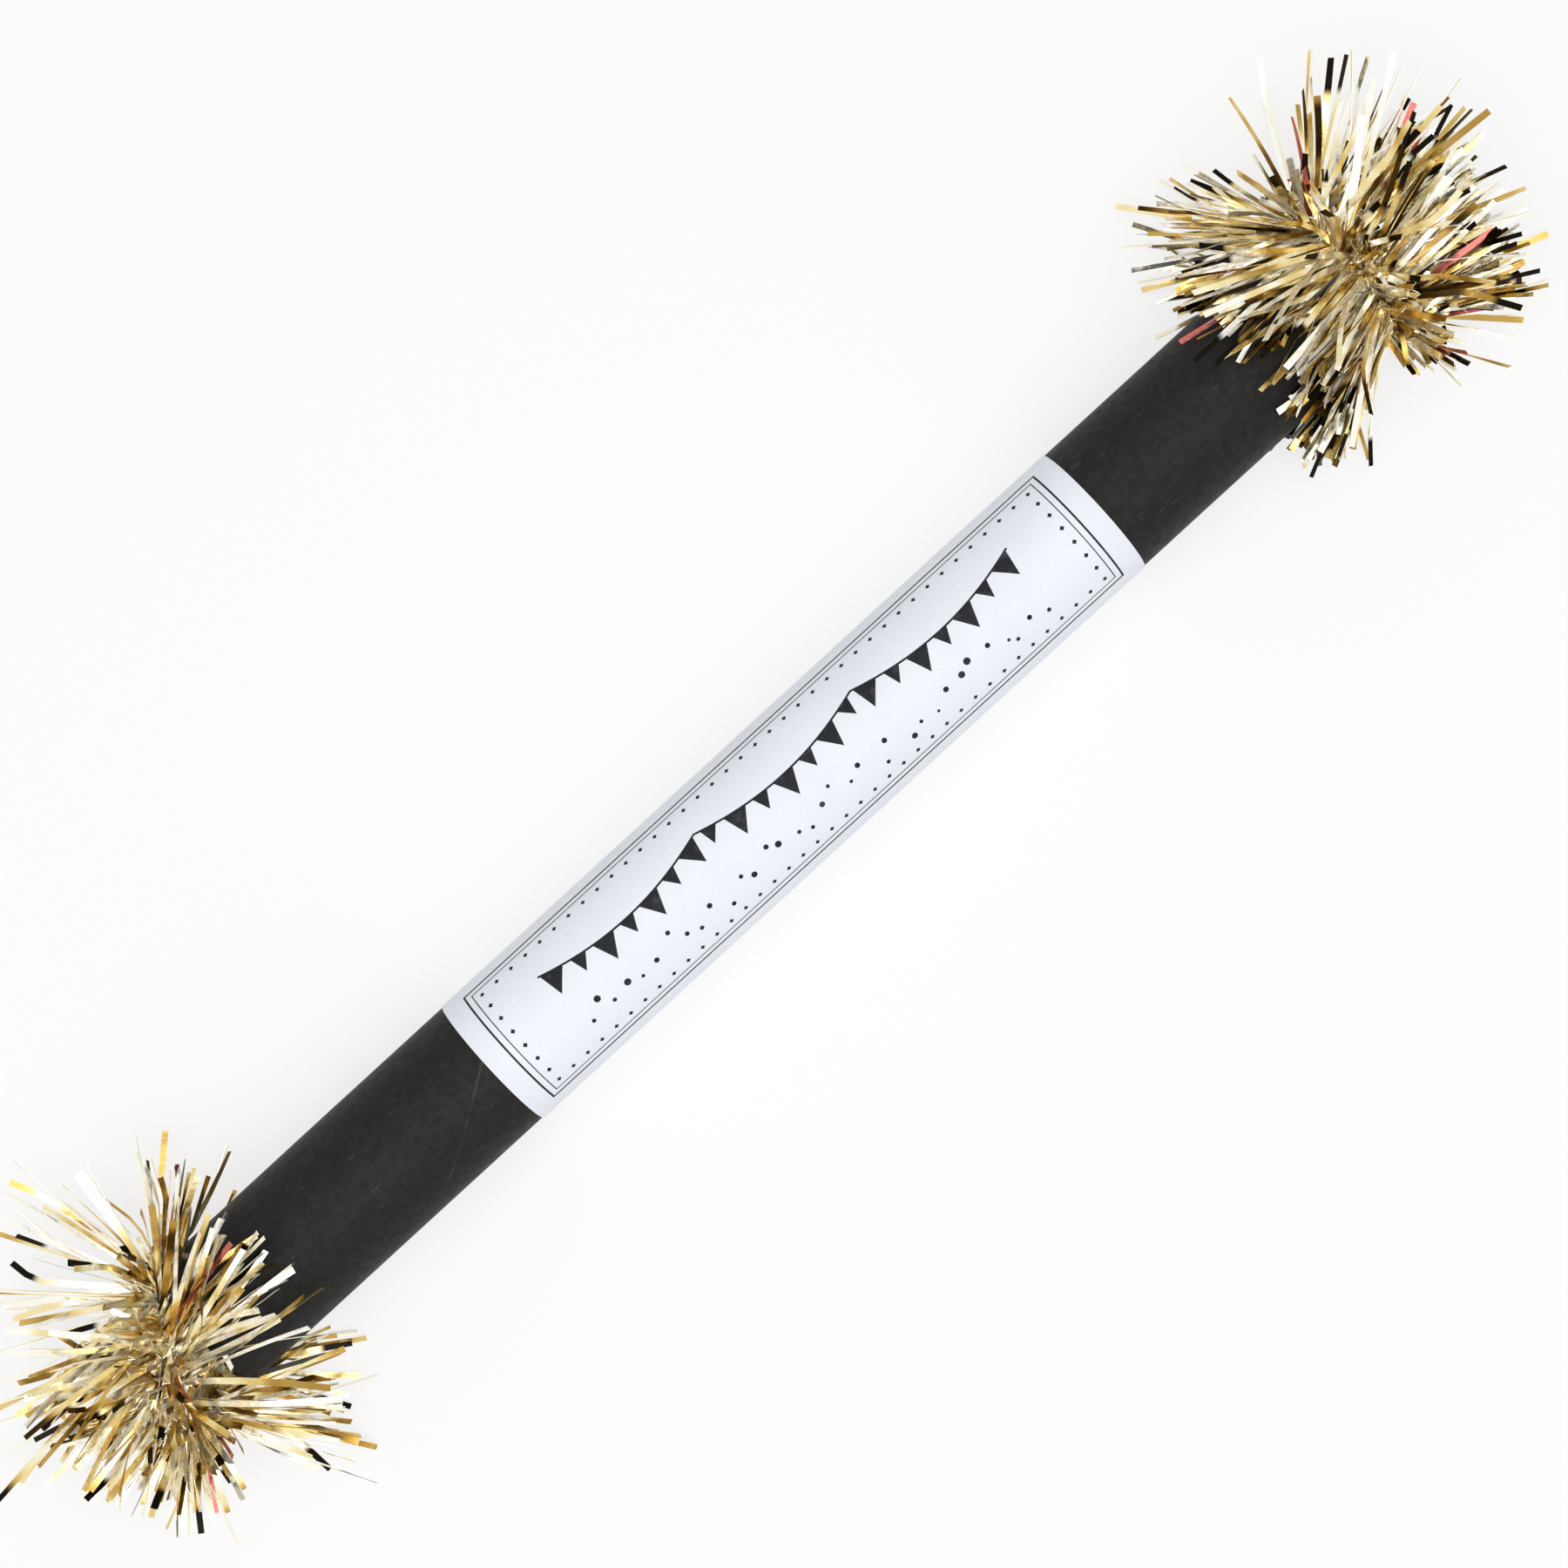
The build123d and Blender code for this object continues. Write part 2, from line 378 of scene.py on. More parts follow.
class SharedEffects:
    """Builds each shared shader group once."""

    def __init__(self) -> None:
        """Make the groups."""
        self.fibre = self._paper_fibre()
        self.seam = self._winding_seam()
        self.rub = self._rub_wear()
        self.draw = self._drawn_lines()

    @staticmethod
    def _start(name: str, inputs: Sequence[str], outputs: Sequence[str]) -> Group:
        """A shader group that takes a place and some numbers, and gives numbers."""
        return Group(name, TreeKind.SHADER, {"Vector": "Vector", **floats(*inputs)}, floats(*outputs))

    def _paper_fibre(self) -> Tree:
        """Paper: cloudy mottle, thin curling fibres and their height.

        Returns:
            The group's tree.
        """
        pen = self._start("paper_fibre", ("Fibre Scale", "Mottle Scale"), ("Fibre", "Mottle", "Height"))
        place, scale = pen["Vector"], pen["Fibre Scale"]
        ridges = []
        for stretch in ((0.35, 1.0, 1.0), (1.0, 0.5, 0.7)):
            lines = pen.grain(place * stretch, scale)
            ridges.append(pen.span(abs(lines - 0.5), 0.0, 0.035, 1.0, 0.0))
        fibre = pen.larger(*ridges)
        height = fibre * 0.45 + pen.grain(place, scale * 2.3, 3.0) * 0.55
        mottle = pen.grain(place, pen["Mottle Scale"], 5.0, 0.62)
        return pen.give(Fibre=fibre, Mottle=mottle, Height=height)

    def _winding_seam(self) -> Tree:
        """The joint of a paper strip that is wound round the tube.

        Returns:
            The group's tree.
        """
        pen = self._start("winding_seam", ("Lead", "Start", "Width"), ("Seam",))
        x, y, z = pen.split(pen["Vector"])
        turn = pen.math("ARCTAN2", y, z) / math.tau
        place = pen.math("FRACT", turn - (x - pen["Start"]) / pen["Lead"])
        distance = pen.math("MINIMUM", place, 1.0 - place) * (pen["Lead"] * 0.5)
        return pen.give(Seam=pen.span(distance / pen["Width"], 0.35, 1.0, 1.0, 0.0))

    def _rub_wear(self) -> Tree:
        """Rubbed places: along the rims, and a few scuffs between them.

        Returns:
            The group's tree.
        """
        pen = self._start("rub_wear", ("Edge", "Reach"), ("Rub",))
        place, reach = pen["Vector"], pen["Reach"]
        past = abs(pen.split(place)[0]) - (pen["Edge"] - reach)
        near = pen.span(past / reach, 0.0, 1.0)
        patchy = pen.span(pen.grain(place, 420.0, 4.0), 0.4, 0.62)
        scuff = pen.span(pen.grain(place * (0.3, 1.0, 1.0), 700.0, 4.0), 0.66, 0.74)
        return pen.give(Rub=pen.larger(near * patchy, scuff))

    def _drawn_lines(self) -> Tree:
        """Drawn wire: fine lines along it and a few dull patches.

        Returns:
            The group's tree.
        """
        pen = self._start("drawn_lines", ("Line Scale",), ("Lines", "Dull"))
        lines = pen.grain(pen["Vector"] * (0.03, 1.0, 1.0), pen["Line Scale"], 3.0)
        return pen.give(Lines=lines, Dull=pen.span(pen.grain(pen["Vector"], 160.0, 3.0), 0.5, 0.7))


# Finishes


class Surface(Pen):
    """A pen on a new material, with its shader and the piece's own Object coordinates."""

    def __init__(self, name: str, effects: SharedEffects) -> None:
        """Make the material with a bare shader.

        Args:
            name: The material's name.
            effects: The shared groups.
        """
        self.effects = effects
        self.material = bpy.data.materials.new(name)
        super().__init__(cleared(self.material))
        self.shader = self.node("ShaderNodeBsdfPrincipled")
        self.node("ShaderNodeOutputMaterial", {"Surface": Value(self, self.shader.outputs[0])})
        self.place = self.add("ShaderNodeTexCoord", output="Object")

    def effect(self, tree: Tree, **values: float) -> dict[str, Value]:
        """Place a shared group.

        Args:
            tree: The group.
            values: The group's inputs by name, with underscores for spaces.

        Returns:
            The group's outputs by name.
        """
        inputs = {titled(label): value for label, value in values.items()}
        node = self.node("ShaderNodeGroup", {"Vector": self.place, **inputs}, node_tree=tree)
        return {end.name: Value(self, end) for end in node.outputs}


@dataclass(frozen=True)
class Finish:
    """A material's name, its gloss, the span of its roughness and its bump."""

    name: str
    specular: float = 0.5
    roughness: Span = (0.5, 0.5)
    bump: float = 0.0
    bump_depth: float = 0.0

    def paint(self, pen: Surface) -> dict[str, object]:
        """Draw the finish.

        Args:
            pen: The material's pen.

        Returns:
            The shader's inputs by name, and the bump's Height where there is one.
        """
        raise NotImplementedError

    def build(self, effects: SharedEffects) -> Material:
        """Make the material.

        Args:
            effects: The shared groups.

        Returns:
            The finished material.
        """
        pen = Surface(self.name, effects)
        looks = {"Specular IOR Level": self.specular, **self.paint(pen)}
        if "Height" in looks:
            bump = {"Strength": self.bump, "Distance": self.bump_depth, "Height": looks.pop("Height")}
            looks["Normal"] = pen.add("ShaderNodeBump", bump)
        for label, value in looks.items():
            pen.feed(pen.shader.inputs[label], value)
        return pen.material


@dataclass(frozen=True)
class Paper(Finish):
    """A finish with paper fibres."""

    fibre_scale: float = 0.0
    mottle_scale: float = 0.0

    def fibres(self, pen: Surface) -> dict[str, Value]:
        """The paper's Fibre, Mottle and Height."""
        return pen.effect(pen.effects.fibre, fibre_scale=self.fibre_scale, mottle_scale=self.mottle_scale)


@dataclass(frozen=True)
class BlackPaper(Paper):
    """Matt black wrapping paper, wound on the tube."""

    specular: float = 0.16
    roughness: Span = (0.61, 0.53)
    bump: float = 0.32
    bump_depth: float = 0.05 * MM
    fibre_scale: float = 1100.0
    mottle_scale: float = 520.0
    dark: Colour = (0.0096, 0.0095, 0.0086)
    light: Colour = (0.0136, 0.0134, 0.0122)
    fibre: Colour = (0.027, 0.0265, 0.024)
    bare: Colour = (0.1, 0.095, 0.082)
    seam_lead: float = 140.0 * MM
    seam_start: float = -76.4 * MM
    seam_width: float = 0.34 * MM
    seam_height: float = 0.8
    rim: float = 152.5 * MM
    rim_wear: float = 2.5 * MM
    rub_share: float = 0.22

    def paint(self, pen: Surface) -> dict[str, object]:
        """Paint mottled black with paler fibres, rubbed rims and a patchy seam.

        Args:
            pen: The material's pen.

        Returns:
            The shader's inputs and the bump's Height.
        """
        paper = self.fibres(pen)
        lead, start, width = self.seam_lead, self.seam_start, self.seam_width
        seam = pen.effect(pen.effects.seam, lead=lead, start=start, width=width)["Seam"]
        rub = pen.effect(pen.effects.rub, edge=self.rim, reach=self.rim_wear)["Rub"]
        mottle = pen.span(paper["Mottle"], 0.33, 0.67)
        patchy = pen.span(pen.grain(pen.place, 110.0, 3.0), 0.35, 0.65, 0.05, 0.32)
        colour = pen.tint(mottle, self.dark, self.light)
        colour = pen.tint(paper["Fibre"] * pen.span(mottle, 0.2, 1.0, 0.08, 0.4), colour, self.fibre)
        colour = pen.tint(rub * self.rub_share, colour, self.bare)
        return {
            "Base Color": pen.tint(seam * patchy, colour, self.bare),
            "Roughness": pen.span(mottle, 0.0, 1.0, *self.roughness),
            "Height": paper["Height"] + seam * self.seam_height,
        }


@dataclass(frozen=True)
class LabelPaper(Paper):
    """Smooth cool-white label paper."""

    specular: float = 0.4
    roughness: Span = (0.5, 0.62)
    bump: float = 0.12
    bump_depth: float = 0.03 * MM
    fibre_scale: float = 780.0
    mottle_scale: float = 70.0
    white: Colour = (0.835, 0.87, 0.925)
    shade: Colour = (0.775, 0.805, 0.85)
    fibre: Colour = (0.69, 0.71, 0.74)
    shade_share: float = 0.3
    fibre_share: float = 0.12

    def paint(self, pen: Surface) -> dict[str, object]:
        """Paint white with faint clouds and fibres.

        Args:
            pen: The material's pen.

        Returns:
            The shader's inputs and the bump's Height.
        """
        paper = self.fibres(pen)
        mottle = pen.span(paper["Mottle"], 0.3, 0.7)
        colour = pen.tint(mottle * self.shade_share, self.white, self.shade)
        return {
            "Base Color": pen.tint(paper["Fibre"] * self.fibre_share, colour, self.fibre),
            "Roughness": pen.span(mottle, 0.0, 1.0, *self.roughness),
            "Height": paper["Height"],
        }


@dataclass(frozen=True)
class PrintInk(Paper):
    """Charcoal ink, a little broken by the paper under it."""

    specular: float = 0.14
    roughness: Span = (0.5, 0.66)
    fibre_scale: float = 900.0
    mottle_scale: float = 420.0
    solid: Colour = (0.014, 0.0145, 0.017)
    thin: Colour = (0.055, 0.057, 0.064)

    def paint(self, pen: Surface) -> dict[str, object]:
        """Paint solid ink with thin patches.

        Args:
            pen: The material's pen.

        Returns:
            The shader's inputs.
        """
        worn = pen.span(self.fibres(pen)["Mottle"], 0.5, 0.72)
        colour = pen.tint(worn, self.solid, self.thin)
        return {"Base Color": colour, "Roughness": pen.span(worn, 0.0, 1.0, *self.roughness)}


@dataclass(frozen=True)
class KraftBoard(Paper):
    """Wound grey-brown card, with its plies at the cut ends."""

    roughness: Span = (0.78, 0.92)
    bump: float = 0.4
    bump_depth: float = 0.08 * MM
    fibre_scale: float = 520.0
    mottle_scale: float = 130.0
    dark: Colour = (0.22, 0.15, 0.09)
    light: Colour = (0.42, 0.315, 0.21)
    line: Colour = (0.11, 0.07, 0.04)
    ply_gap: float = 0.22 * MM
    seam_lead: float = 92.0 * MM
    seam_width: float = 0.5 * MM
    line_share: float = 0.85
    fibre_share: float = 0.35

    def paint(self, pen: Surface) -> dict[str, object]:
        """Paint brown board with dark lines between its plies and along its seam.

        Args:
            pen: The material's pen.

        Returns:
            The shader's inputs and the bump's Height.
        """
        paper = self.fibres(pen)
        seam = pen.effect(pen.effects.seam, lead=self.seam_lead, start=0.0, width=self.seam_width)["Seam"]
        ply = pen.math("PINGPONG", pen.length(pen.place * ROUND_TUBE), self.ply_gap)
        lines = pen.larger(pen.span(ply / self.ply_gap, 0.0, 0.3, 1.0, 0.0), seam)
        colour = pen.tint(paper["Mottle"], self.dark, self.light)
        colour = pen.tint(lines * self.line_share, colour, self.line)
        return {
            "Base Color": pen.tint(paper["Fibre"] * self.fibre_share, colour, self.light),
            "Roughness": pen.span(paper["Mottle"], 0.3, 0.7, *self.roughness),
            "Height": paper["Height"],
        }


@dataclass(frozen=True)
class TinselFoil(Finish):
    """Metallised gold foil strands, each with its own painted level of reflected light and shade, from
    near-black to white.
    """

    specular: float = 0.12
    roughness: Span = (0.14, 0.28)
    bump: float = 0.3
    bump_depth: float = 0.2 * MM
    metallic: float = 0.87
    crinkle_scale: float = 620.0
    shade_share: float = 0.87
    glint: Span = (-0.15, 0.45)
    glints_along: float = 1.7
    lane_gap: float = 97.0
    # Painted reflection and shade: the gold hue is the foil's own colour, but its levels run from near-black,
    # for strands that would mirror dark surroundings, to white, for strands that would mirror the soft box.
    shades: tuple[tuple[float, Colour], ...] = (
        (0.0, (0.03, 0.017, 0.004)),
        (0.08, (0.09, 0.05, 0.011)),
        (0.18, (0.33, 0.185, 0.034)),
        (0.32, (0.65, 0.435, 0.125)),
        (0.45, (0.88, 0.71, 0.33)),
        (0.57, (0.98, 0.9, 0.6)),
        (0.66, (1.0, 0.985, 0.9)),
    )
    rose: Colour = (0.52, 0.14, 0.125)
    # Painted shade: near-black on the last stretch of some strands stands in for dark reflections.
    tip: Colour = (0.011, 0.009, 0.007)
    edge: Colour = (0.9, 0.76, 0.48)

    def paint(self, pen: Surface) -> dict[str, object]:
        """Paint each strand's painted level of reflected light and shade, with a painted glint along it, a
        few rose strands and painted dark reflections at some tips.

        Args:
            pen: The material's pen.

        Returns:
            The shader's inputs and the bump's Height.
        """
        names = ("foil_tint", "foil_along", "foil_dark", "foil_rose")
        marks = [pen.add("ShaderNodeAttribute", output="Fac", attribute_name=name) for name in names]
        shade, along, dark, rosy = marks
        lane = pen.combine(along * self.glints_along, shade * self.lane_gap)
        # Painted glint: lighter and darker stretches along each strand stand in for reflections.
        glint = pen.span(pen.grain(lane, 1.0), 0.32, 0.68, *self.glint)
        ramp = pen.node("ShaderNodeValToRGB", {0: shade * self.shade_share + glint})
        stops = ramp.color_ramp.elements
        stops[0].position, stops[1].position = self.shades[0][0], self.shades[-1][0]
        for position, _ in self.shades[1:-1]:
            stops.new(position)
        for stop, (_, colour) in zip(stops, self.shades):
            stop.color = (*colour, 1.0)
        colour = pen.tint(rosy, Value(pen, ramp.outputs["Color"]), self.rose)
        crinkle = pen.grain(pen.place, self.crinkle_scale)
        # The marked strands' tips take the painted dark reflection colour.
        return {
            "Base Color": pen.tint(pen.span(along, 0.77, 0.83) * dark, colour, self.tip),
            "Roughness": pen.span(crinkle, 0.3, 0.7, *self.roughness),
            "Metallic": self.metallic,
            "Specular Tint": self.edge,
            "Height": crinkle,
        }


@dataclass(frozen=True)
class DippedCoating(Finish):
    """Grey sparkler coating: dull binder with metal grains."""

    specular: float = 0.3
    roughness: Span = (0.88, 0.42)
    bump: float = 0.85
    bump_depth: float = 0.2 * MM
    binder: Colour = (0.085, 0.085, 0.09)
    pale: Colour = (0.22, 0.22, 0.225)
    grain: Colour = (0.5, 0.49, 0.47)
    cell_scale: float = 5600.0
    cloud_scale: float = 420.0
    sand_scale: float = 3400.0

    def paint(self, pen: Surface) -> dict[str, object]:
        """Paint cloudy grey with sand in it and a few bright grains.

        Args:
            pen: The material's pen.

        Returns:
            The shader's inputs and the bump's Height.
        """
        cells = pen.add("ShaderNodeTexVoronoi", {"Vector": pen.place, "Scale": self.cell_scale}, "Color")
        metal = pen.span(pen.split(cells)[0], 0.93, 0.96)
        cloud = pen.grain(pen.place, self.cloud_scale, 6.0, 0.68)
        sand = pen.grain(pen.place, self.sand_scale, 3.0)
        colour = pen.tint(pen.span(sand * 0.5 + cloud * 0.5, 0.34, 0.66), self.binder, self.pale)
        return {
            "Base Color": pen.tint(metal, colour, self.grain),
            "Metallic": metal,
            "Roughness": pen.span(metal, 0.0, 1.0, *self.roughness),
            "Height": sand * 0.7 + cloud * 0.6,
        }


@dataclass(frozen=True)
class DrawnWire(Finish):
    """Bare drawn wire."""

    roughness: Span = (0.26, 0.46)
    bump: float = 0.2
    bump_depth: float = 0.02 * MM
    line_scale: float = 4200.0
    bright: Colour = (0.6, 0.58, 0.54)
    dull: Colour = (0.3, 0.27, 0.23)
    dull_share: float = 0.6

    def paint(self, pen: Surface) -> dict[str, object]:
        """Paint bright metal with fine lines and dull patches.

        Args:
            pen: The material's pen.

        Returns:
            The shader's inputs and the bump's Height.
        """
        drawn = pen.effect(pen.effects.draw, line_scale=self.line_scale)
        return {
            "Base Color": pen.tint(drawn["Dull"] * self.dull_share, self.bright, self.dull),
            "Roughness": pen.span(drawn["Lines"], 0.3, 0.7, *self.roughness),
            "Metallic": 1.0,
            "Height": drawn["Lines"],
        }


# Piece helpers


def make_object(name: str, data: bpy.types.ID) -> Piece:
    """Put an object in the scene at the origin.

    Args:
        name: The object's name.
        data: Its mesh, lamp, camera or curve.

    Returns:
        The object.
    """
    piece = bpy.data.objects.new(name, data)
    bpy.context.scene.collection.objects.link(piece)
    return piece


def smooth(mesh: bpy.types.Mesh, sharp_angle: float) -> None:
    """Shade a mesh smoothly, apart from edges that bend more than an angle."""
    mesh.shade_smooth()
    mesh.set_sharp_from_angle(angle=sharp_angle)


def close_mesh(name: str, shape: bmesh.types.BMesh, sharp_angle: float) -> Piece:
    """Turn a finished shape into an object.

    Args:
        name: The object's name.
        shape: The shape, which is freed.
        sharp_angle: Edges that bend more than this stay sharp, in radians.

    Returns:
        The object, smoothly shaded and with its faces outwards.
    """
    bmesh.ops.recalc_face_normals(shape, faces=shape.faces)
    mesh = bpy.data.meshes.new(name)
    shape.to_mesh(mesh)
    shape.free()
    smooth(mesh, sharp_angle)
    return make_object(name, mesh)


def skin(shape: bmesh.types.BMesh, rings: Sequence[list[bmesh.types.BMVert]], around: int) -> None:
    """Join each ring of points to the next one with faces.

    Args:
        shape: The shape that holds the points.
        rings: The rings in order; a ring of one point closes an end.
        around: How many faces go round.
    """
    for first, second in zip(rings, rings[1:]):
        for step in range(around):
            after = (step + 1) % around
            corners = [first[step % len(first)], first[after % len(first)]]
            corners += [second[after % len(second)], second[step % len(second)]]
            shape.faces.new(list(dict.fromkeys(corners)))


def turn_on_axis(
    name: str,
    profile: Sequence[tuple[float, float]],
    around: int,
    centre: tuple[float, float] = (0.0, 0.0),
    ripple: Ripple | None = None,
    loop: bool = False,
) -> Piece:
    """Turn a profile about a line along X.

    Args:
        name: The piece's name.
        profile: Places along X with their radius; a radius of nought closes an end.
        around: How many sides the piece has.
        centre: Where the line lies, as Y and Z.
        ripple: How far the surface stands out at a place, if it isn't smooth.
        loop: Whether the profile's end joins its start, as a tube's wall does.

    Returns:
        The piece.
    """
    shape = bmesh.new()
    rings = []
    for x, radius in profile:
        ring = []
        for step in range(around if radius > 0 else 1):
            angle = math.tau * step / around
            spoke = Vector((0.0, math.cos(angle), math.sin(angle)))
            place = Vector((x, *centre)) + spoke * radius
            if ripple is not None and radius > 0:
                place += spoke * ripple(place)
            ring.append(shape.verts.new(place))
        rings.append(ring)
    skin(shape, [*rings, rings[0]] if loop else rings, around)
    return close_mesh(name, shape, LATHE_SHARP)


def grow(name: str, tree: Tree, values: dict[str, object], start: bpy.types.ID | None = None) -> Piece:
    """Run a geometry tree and keep what it gives as a plain mesh.

    Args:
        name: The piece's name.
        tree: The geometry tree.
        values: The tree's inputs by name.
        start: The curve that the tree starts from, if it needs one.

    Returns:
        The piece, with no modifier left on it.
    """
    carrier = make_object(f"{name}_carrier", start or bpy.data.meshes.new(f"{name}_start"))
    modifier = carrier.modifiers.new("grow", "NODES")
    modifier.node_group = tree
    for item in tree.interface.items_tree:
        if item.in_out == "INPUT" and item.name in values:
            modifier[item.identifier] = values[item.name]
    depsgraph = bpy.context.evaluated_depsgraph_get()
    grown = carrier.evaluated_get(depsgraph)
    mesh = bpy.data.meshes.new_from_object(grown, preserve_all_data_layers=True, depsgraph=depsgraph)
    carrier.modifiers.remove(modifier)
    bpy.data.objects.remove(carrier)
    mesh.name = name
    return make_object(name, mesh)


def dress(piece: Piece, material: Material) -> None:
    """Give a piece one material."""
    piece.data.materials.clear()
    piece.data.materials.append(material)


def mount(piece: Piece, body: str, slot: str, *nodes: str) -> None:
    """Put a finished piece on its body and report it.

    Args:
        piece: The piece.
        body: The body that it rides on.
        slot: The material slot's name; it is not used.
        nodes: The nodes that it replaces, if any.
    """
    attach(piece, body)
    if nodes:
        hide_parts(*nodes)
    LOG.info("%s rides %s, %d faces", piece.name, body, len(piece.data.polygons))


# Card tube


@dataclass
class CardTube:
    """The wound card tube and its black paper cover."""

    half_length: float
    board_radius: float
    cover_radius: float
    bore_radius: float = 13.5 * MM
    cover_wall: float = 0.2 * MM
    board_sides: int = 96
    cover_sides: int = 128
    stations: int = 90
    edge_round: float = 0.09 * MM
    unevenness: float = 0.035 * MM
    wave_along: float = 45.0
    wave_across: float = 90.0

    @classmethod
    def from_frame(cls) -> CardTube:
        """Read the tube's sizes from its nodes."""
        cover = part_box("tube_cover")[1]
        return cls(cover.x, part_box("tube_core")[1].z, cover.z)

    def wall(self, inner: float, outer: float) -> list[tuple[float, float]]:
        """The closed profile of a tube's wall, with softened rims.

        Args:
            inner: The wall's inner radius.
            outer: The wall's outer radius.

        Returns:
            Places along the tube with their radius.
        """
        soft = min(self.edge_round, (outer - inner) / 3)
        end = self.half_length
        line = [(end * (2 * step / self.stations - 1), outer) for step in range(1, self.stations)]
        back = [(x, inner) for x, _ in reversed(line)]
        right_rim = [(end - soft, outer), (end, outer - soft), (end, inner + soft), (end - soft, inner)]
        left_rim = [(-end + soft, inner), (-end, inner + soft), (-end, outer - soft)]
        return [(-end + soft, outer), *line, *right_rim, *back, *left_rim]

    def ripple(self, place: Vector) -> float:
        """The slight unevenness that winding leaves."""
        spot = (place.x * self.wave_along, place.y * self.wave_across, place.z * self.wave_across)
        return self.unevenness * noise.noise(Vector(spot))

    def build(self, board: Material, paper: Material) -> None:
        """Build both walls and dress them.

        Args:
            board: The card's material.
            paper: The cover's material.
        """
        wall = self.wall(self.bore_radius, self.board_radius)
        core = turn_on_axis("tube_board", wall, self.board_sides, loop=True)
        dress(core, board)
        mount(core, "tube", "tube_board", "tube_core")
        wall = self.wall(self.cover_radius - self.cover_wall, self.cover_radius)
        cover = turn_on_axis("black_paper_cover", wall, self.cover_sides, ripple=self.ripple, loop=True)
        dress(cover, paper)
        mount(cover, "tube", "tube_paper", "tube_cover")


# Label band


@dataclass
class LabelBand:
    """The white paper band, its lap low on the -Y side and the print on its top."""

    start: float
    end: float
    outer_radius: float
    wall: float = 0.15 * MM
    glue: float = 0.05 * MM
    lap: float = 8.0 * MM
    lap_steps: int = 10
    ramp: float = 3.0 * MM
    seam_angle: float = math.radians(212.0)
    stations: int = 44
    sides: int = 150
    unevenness: float = 0.012 * MM
    wave_along: float = 60.0
    wave_round: float = 1.4

    @classmethod
    def from_frame(cls) -> LabelBand:
        """Read the band's place from its node."""
        low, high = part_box("label_band")
        return cls(low.x, high.x, high.z)

    def section(self) -> list[tuple[float, float]]:
        """The band's closed cross-section, out along the outside and back along the inside.

        Returns:
            Its corners, as angle and radius.
        """
        inner = self.outer_radius - self.wall
        lap_inner = self.outer_radius + self.glue
        lap_outer = lap_inner + self.wall
        lap_angle = self.lap / lap_inner
        turn = math.tau - self.ramp / self.outer_radius
        first, sides, steps = self.seam_angle, self.sides, self.lap_steps
        angles = [first + turn * step / sides for step in range(sides + 1)]
        laps = [first + math.tau + lap_angle * step / steps for step in range(steps + 1)]
        outside = [(angle, self.outer_radius) for angle in angles] + [(angle, lap_outer) for angle in laps]
        inside = [(angle, inner) for angle in angles] + [(angle, lap_inner) for angle in laps]
        return outside + inside[::-1]

    def build_band(self) -> Piece:
        """Build the band itself.

        Returns:
            The band, not dressed yet.
        """
        shape = bmesh.new()
        section = self.section()
        rings = []
        for step in range(self.stations + 1):
            x = self.start + (self.end - self.start) * step / self.stations
            ring = []
            for angle, radius in section:
                across, up = math.cos(angle), math.sin(angle)
                spot = (x * self.wave_along, across * self.wave_round, up * self.wave_round)
                reach = radius + self.unevenness * noise.noise(Vector(spot))
                ring.append(shape.verts.new((x, reach * across, reach * up)))
            rings.append(ring)
        count = len(section)
        skin(shape, rings, count)
        for ring in (rings[0], rings[-1]):
            for step in range(count // 2 - 1):
                shape.faces.new((ring[step], ring[step + 1], ring[count - 2 - step], ring[count - 1 - step]))
        return close_mesh("label_paper_band", shape, BAND_SHARP)

    def build(self, paper: Material, ink: Material) -> None:
        """Build the band and its print, and put them on the tube.

        Args:
            paper: The label's material.
            ink: The print's material.
        """
        band = self.build_band()
        dress(band, paper)
        mount(band, "tube", "label_paper", "label_band")
        middle = (self.start + self.end) / 2
        values = {"Length": self.end - self.start, "Radius": self.outer_radius, "Middle": middle}
        mount(grow("label_print", LabelPrint(ink).build(), values), "tube", "label_paper")


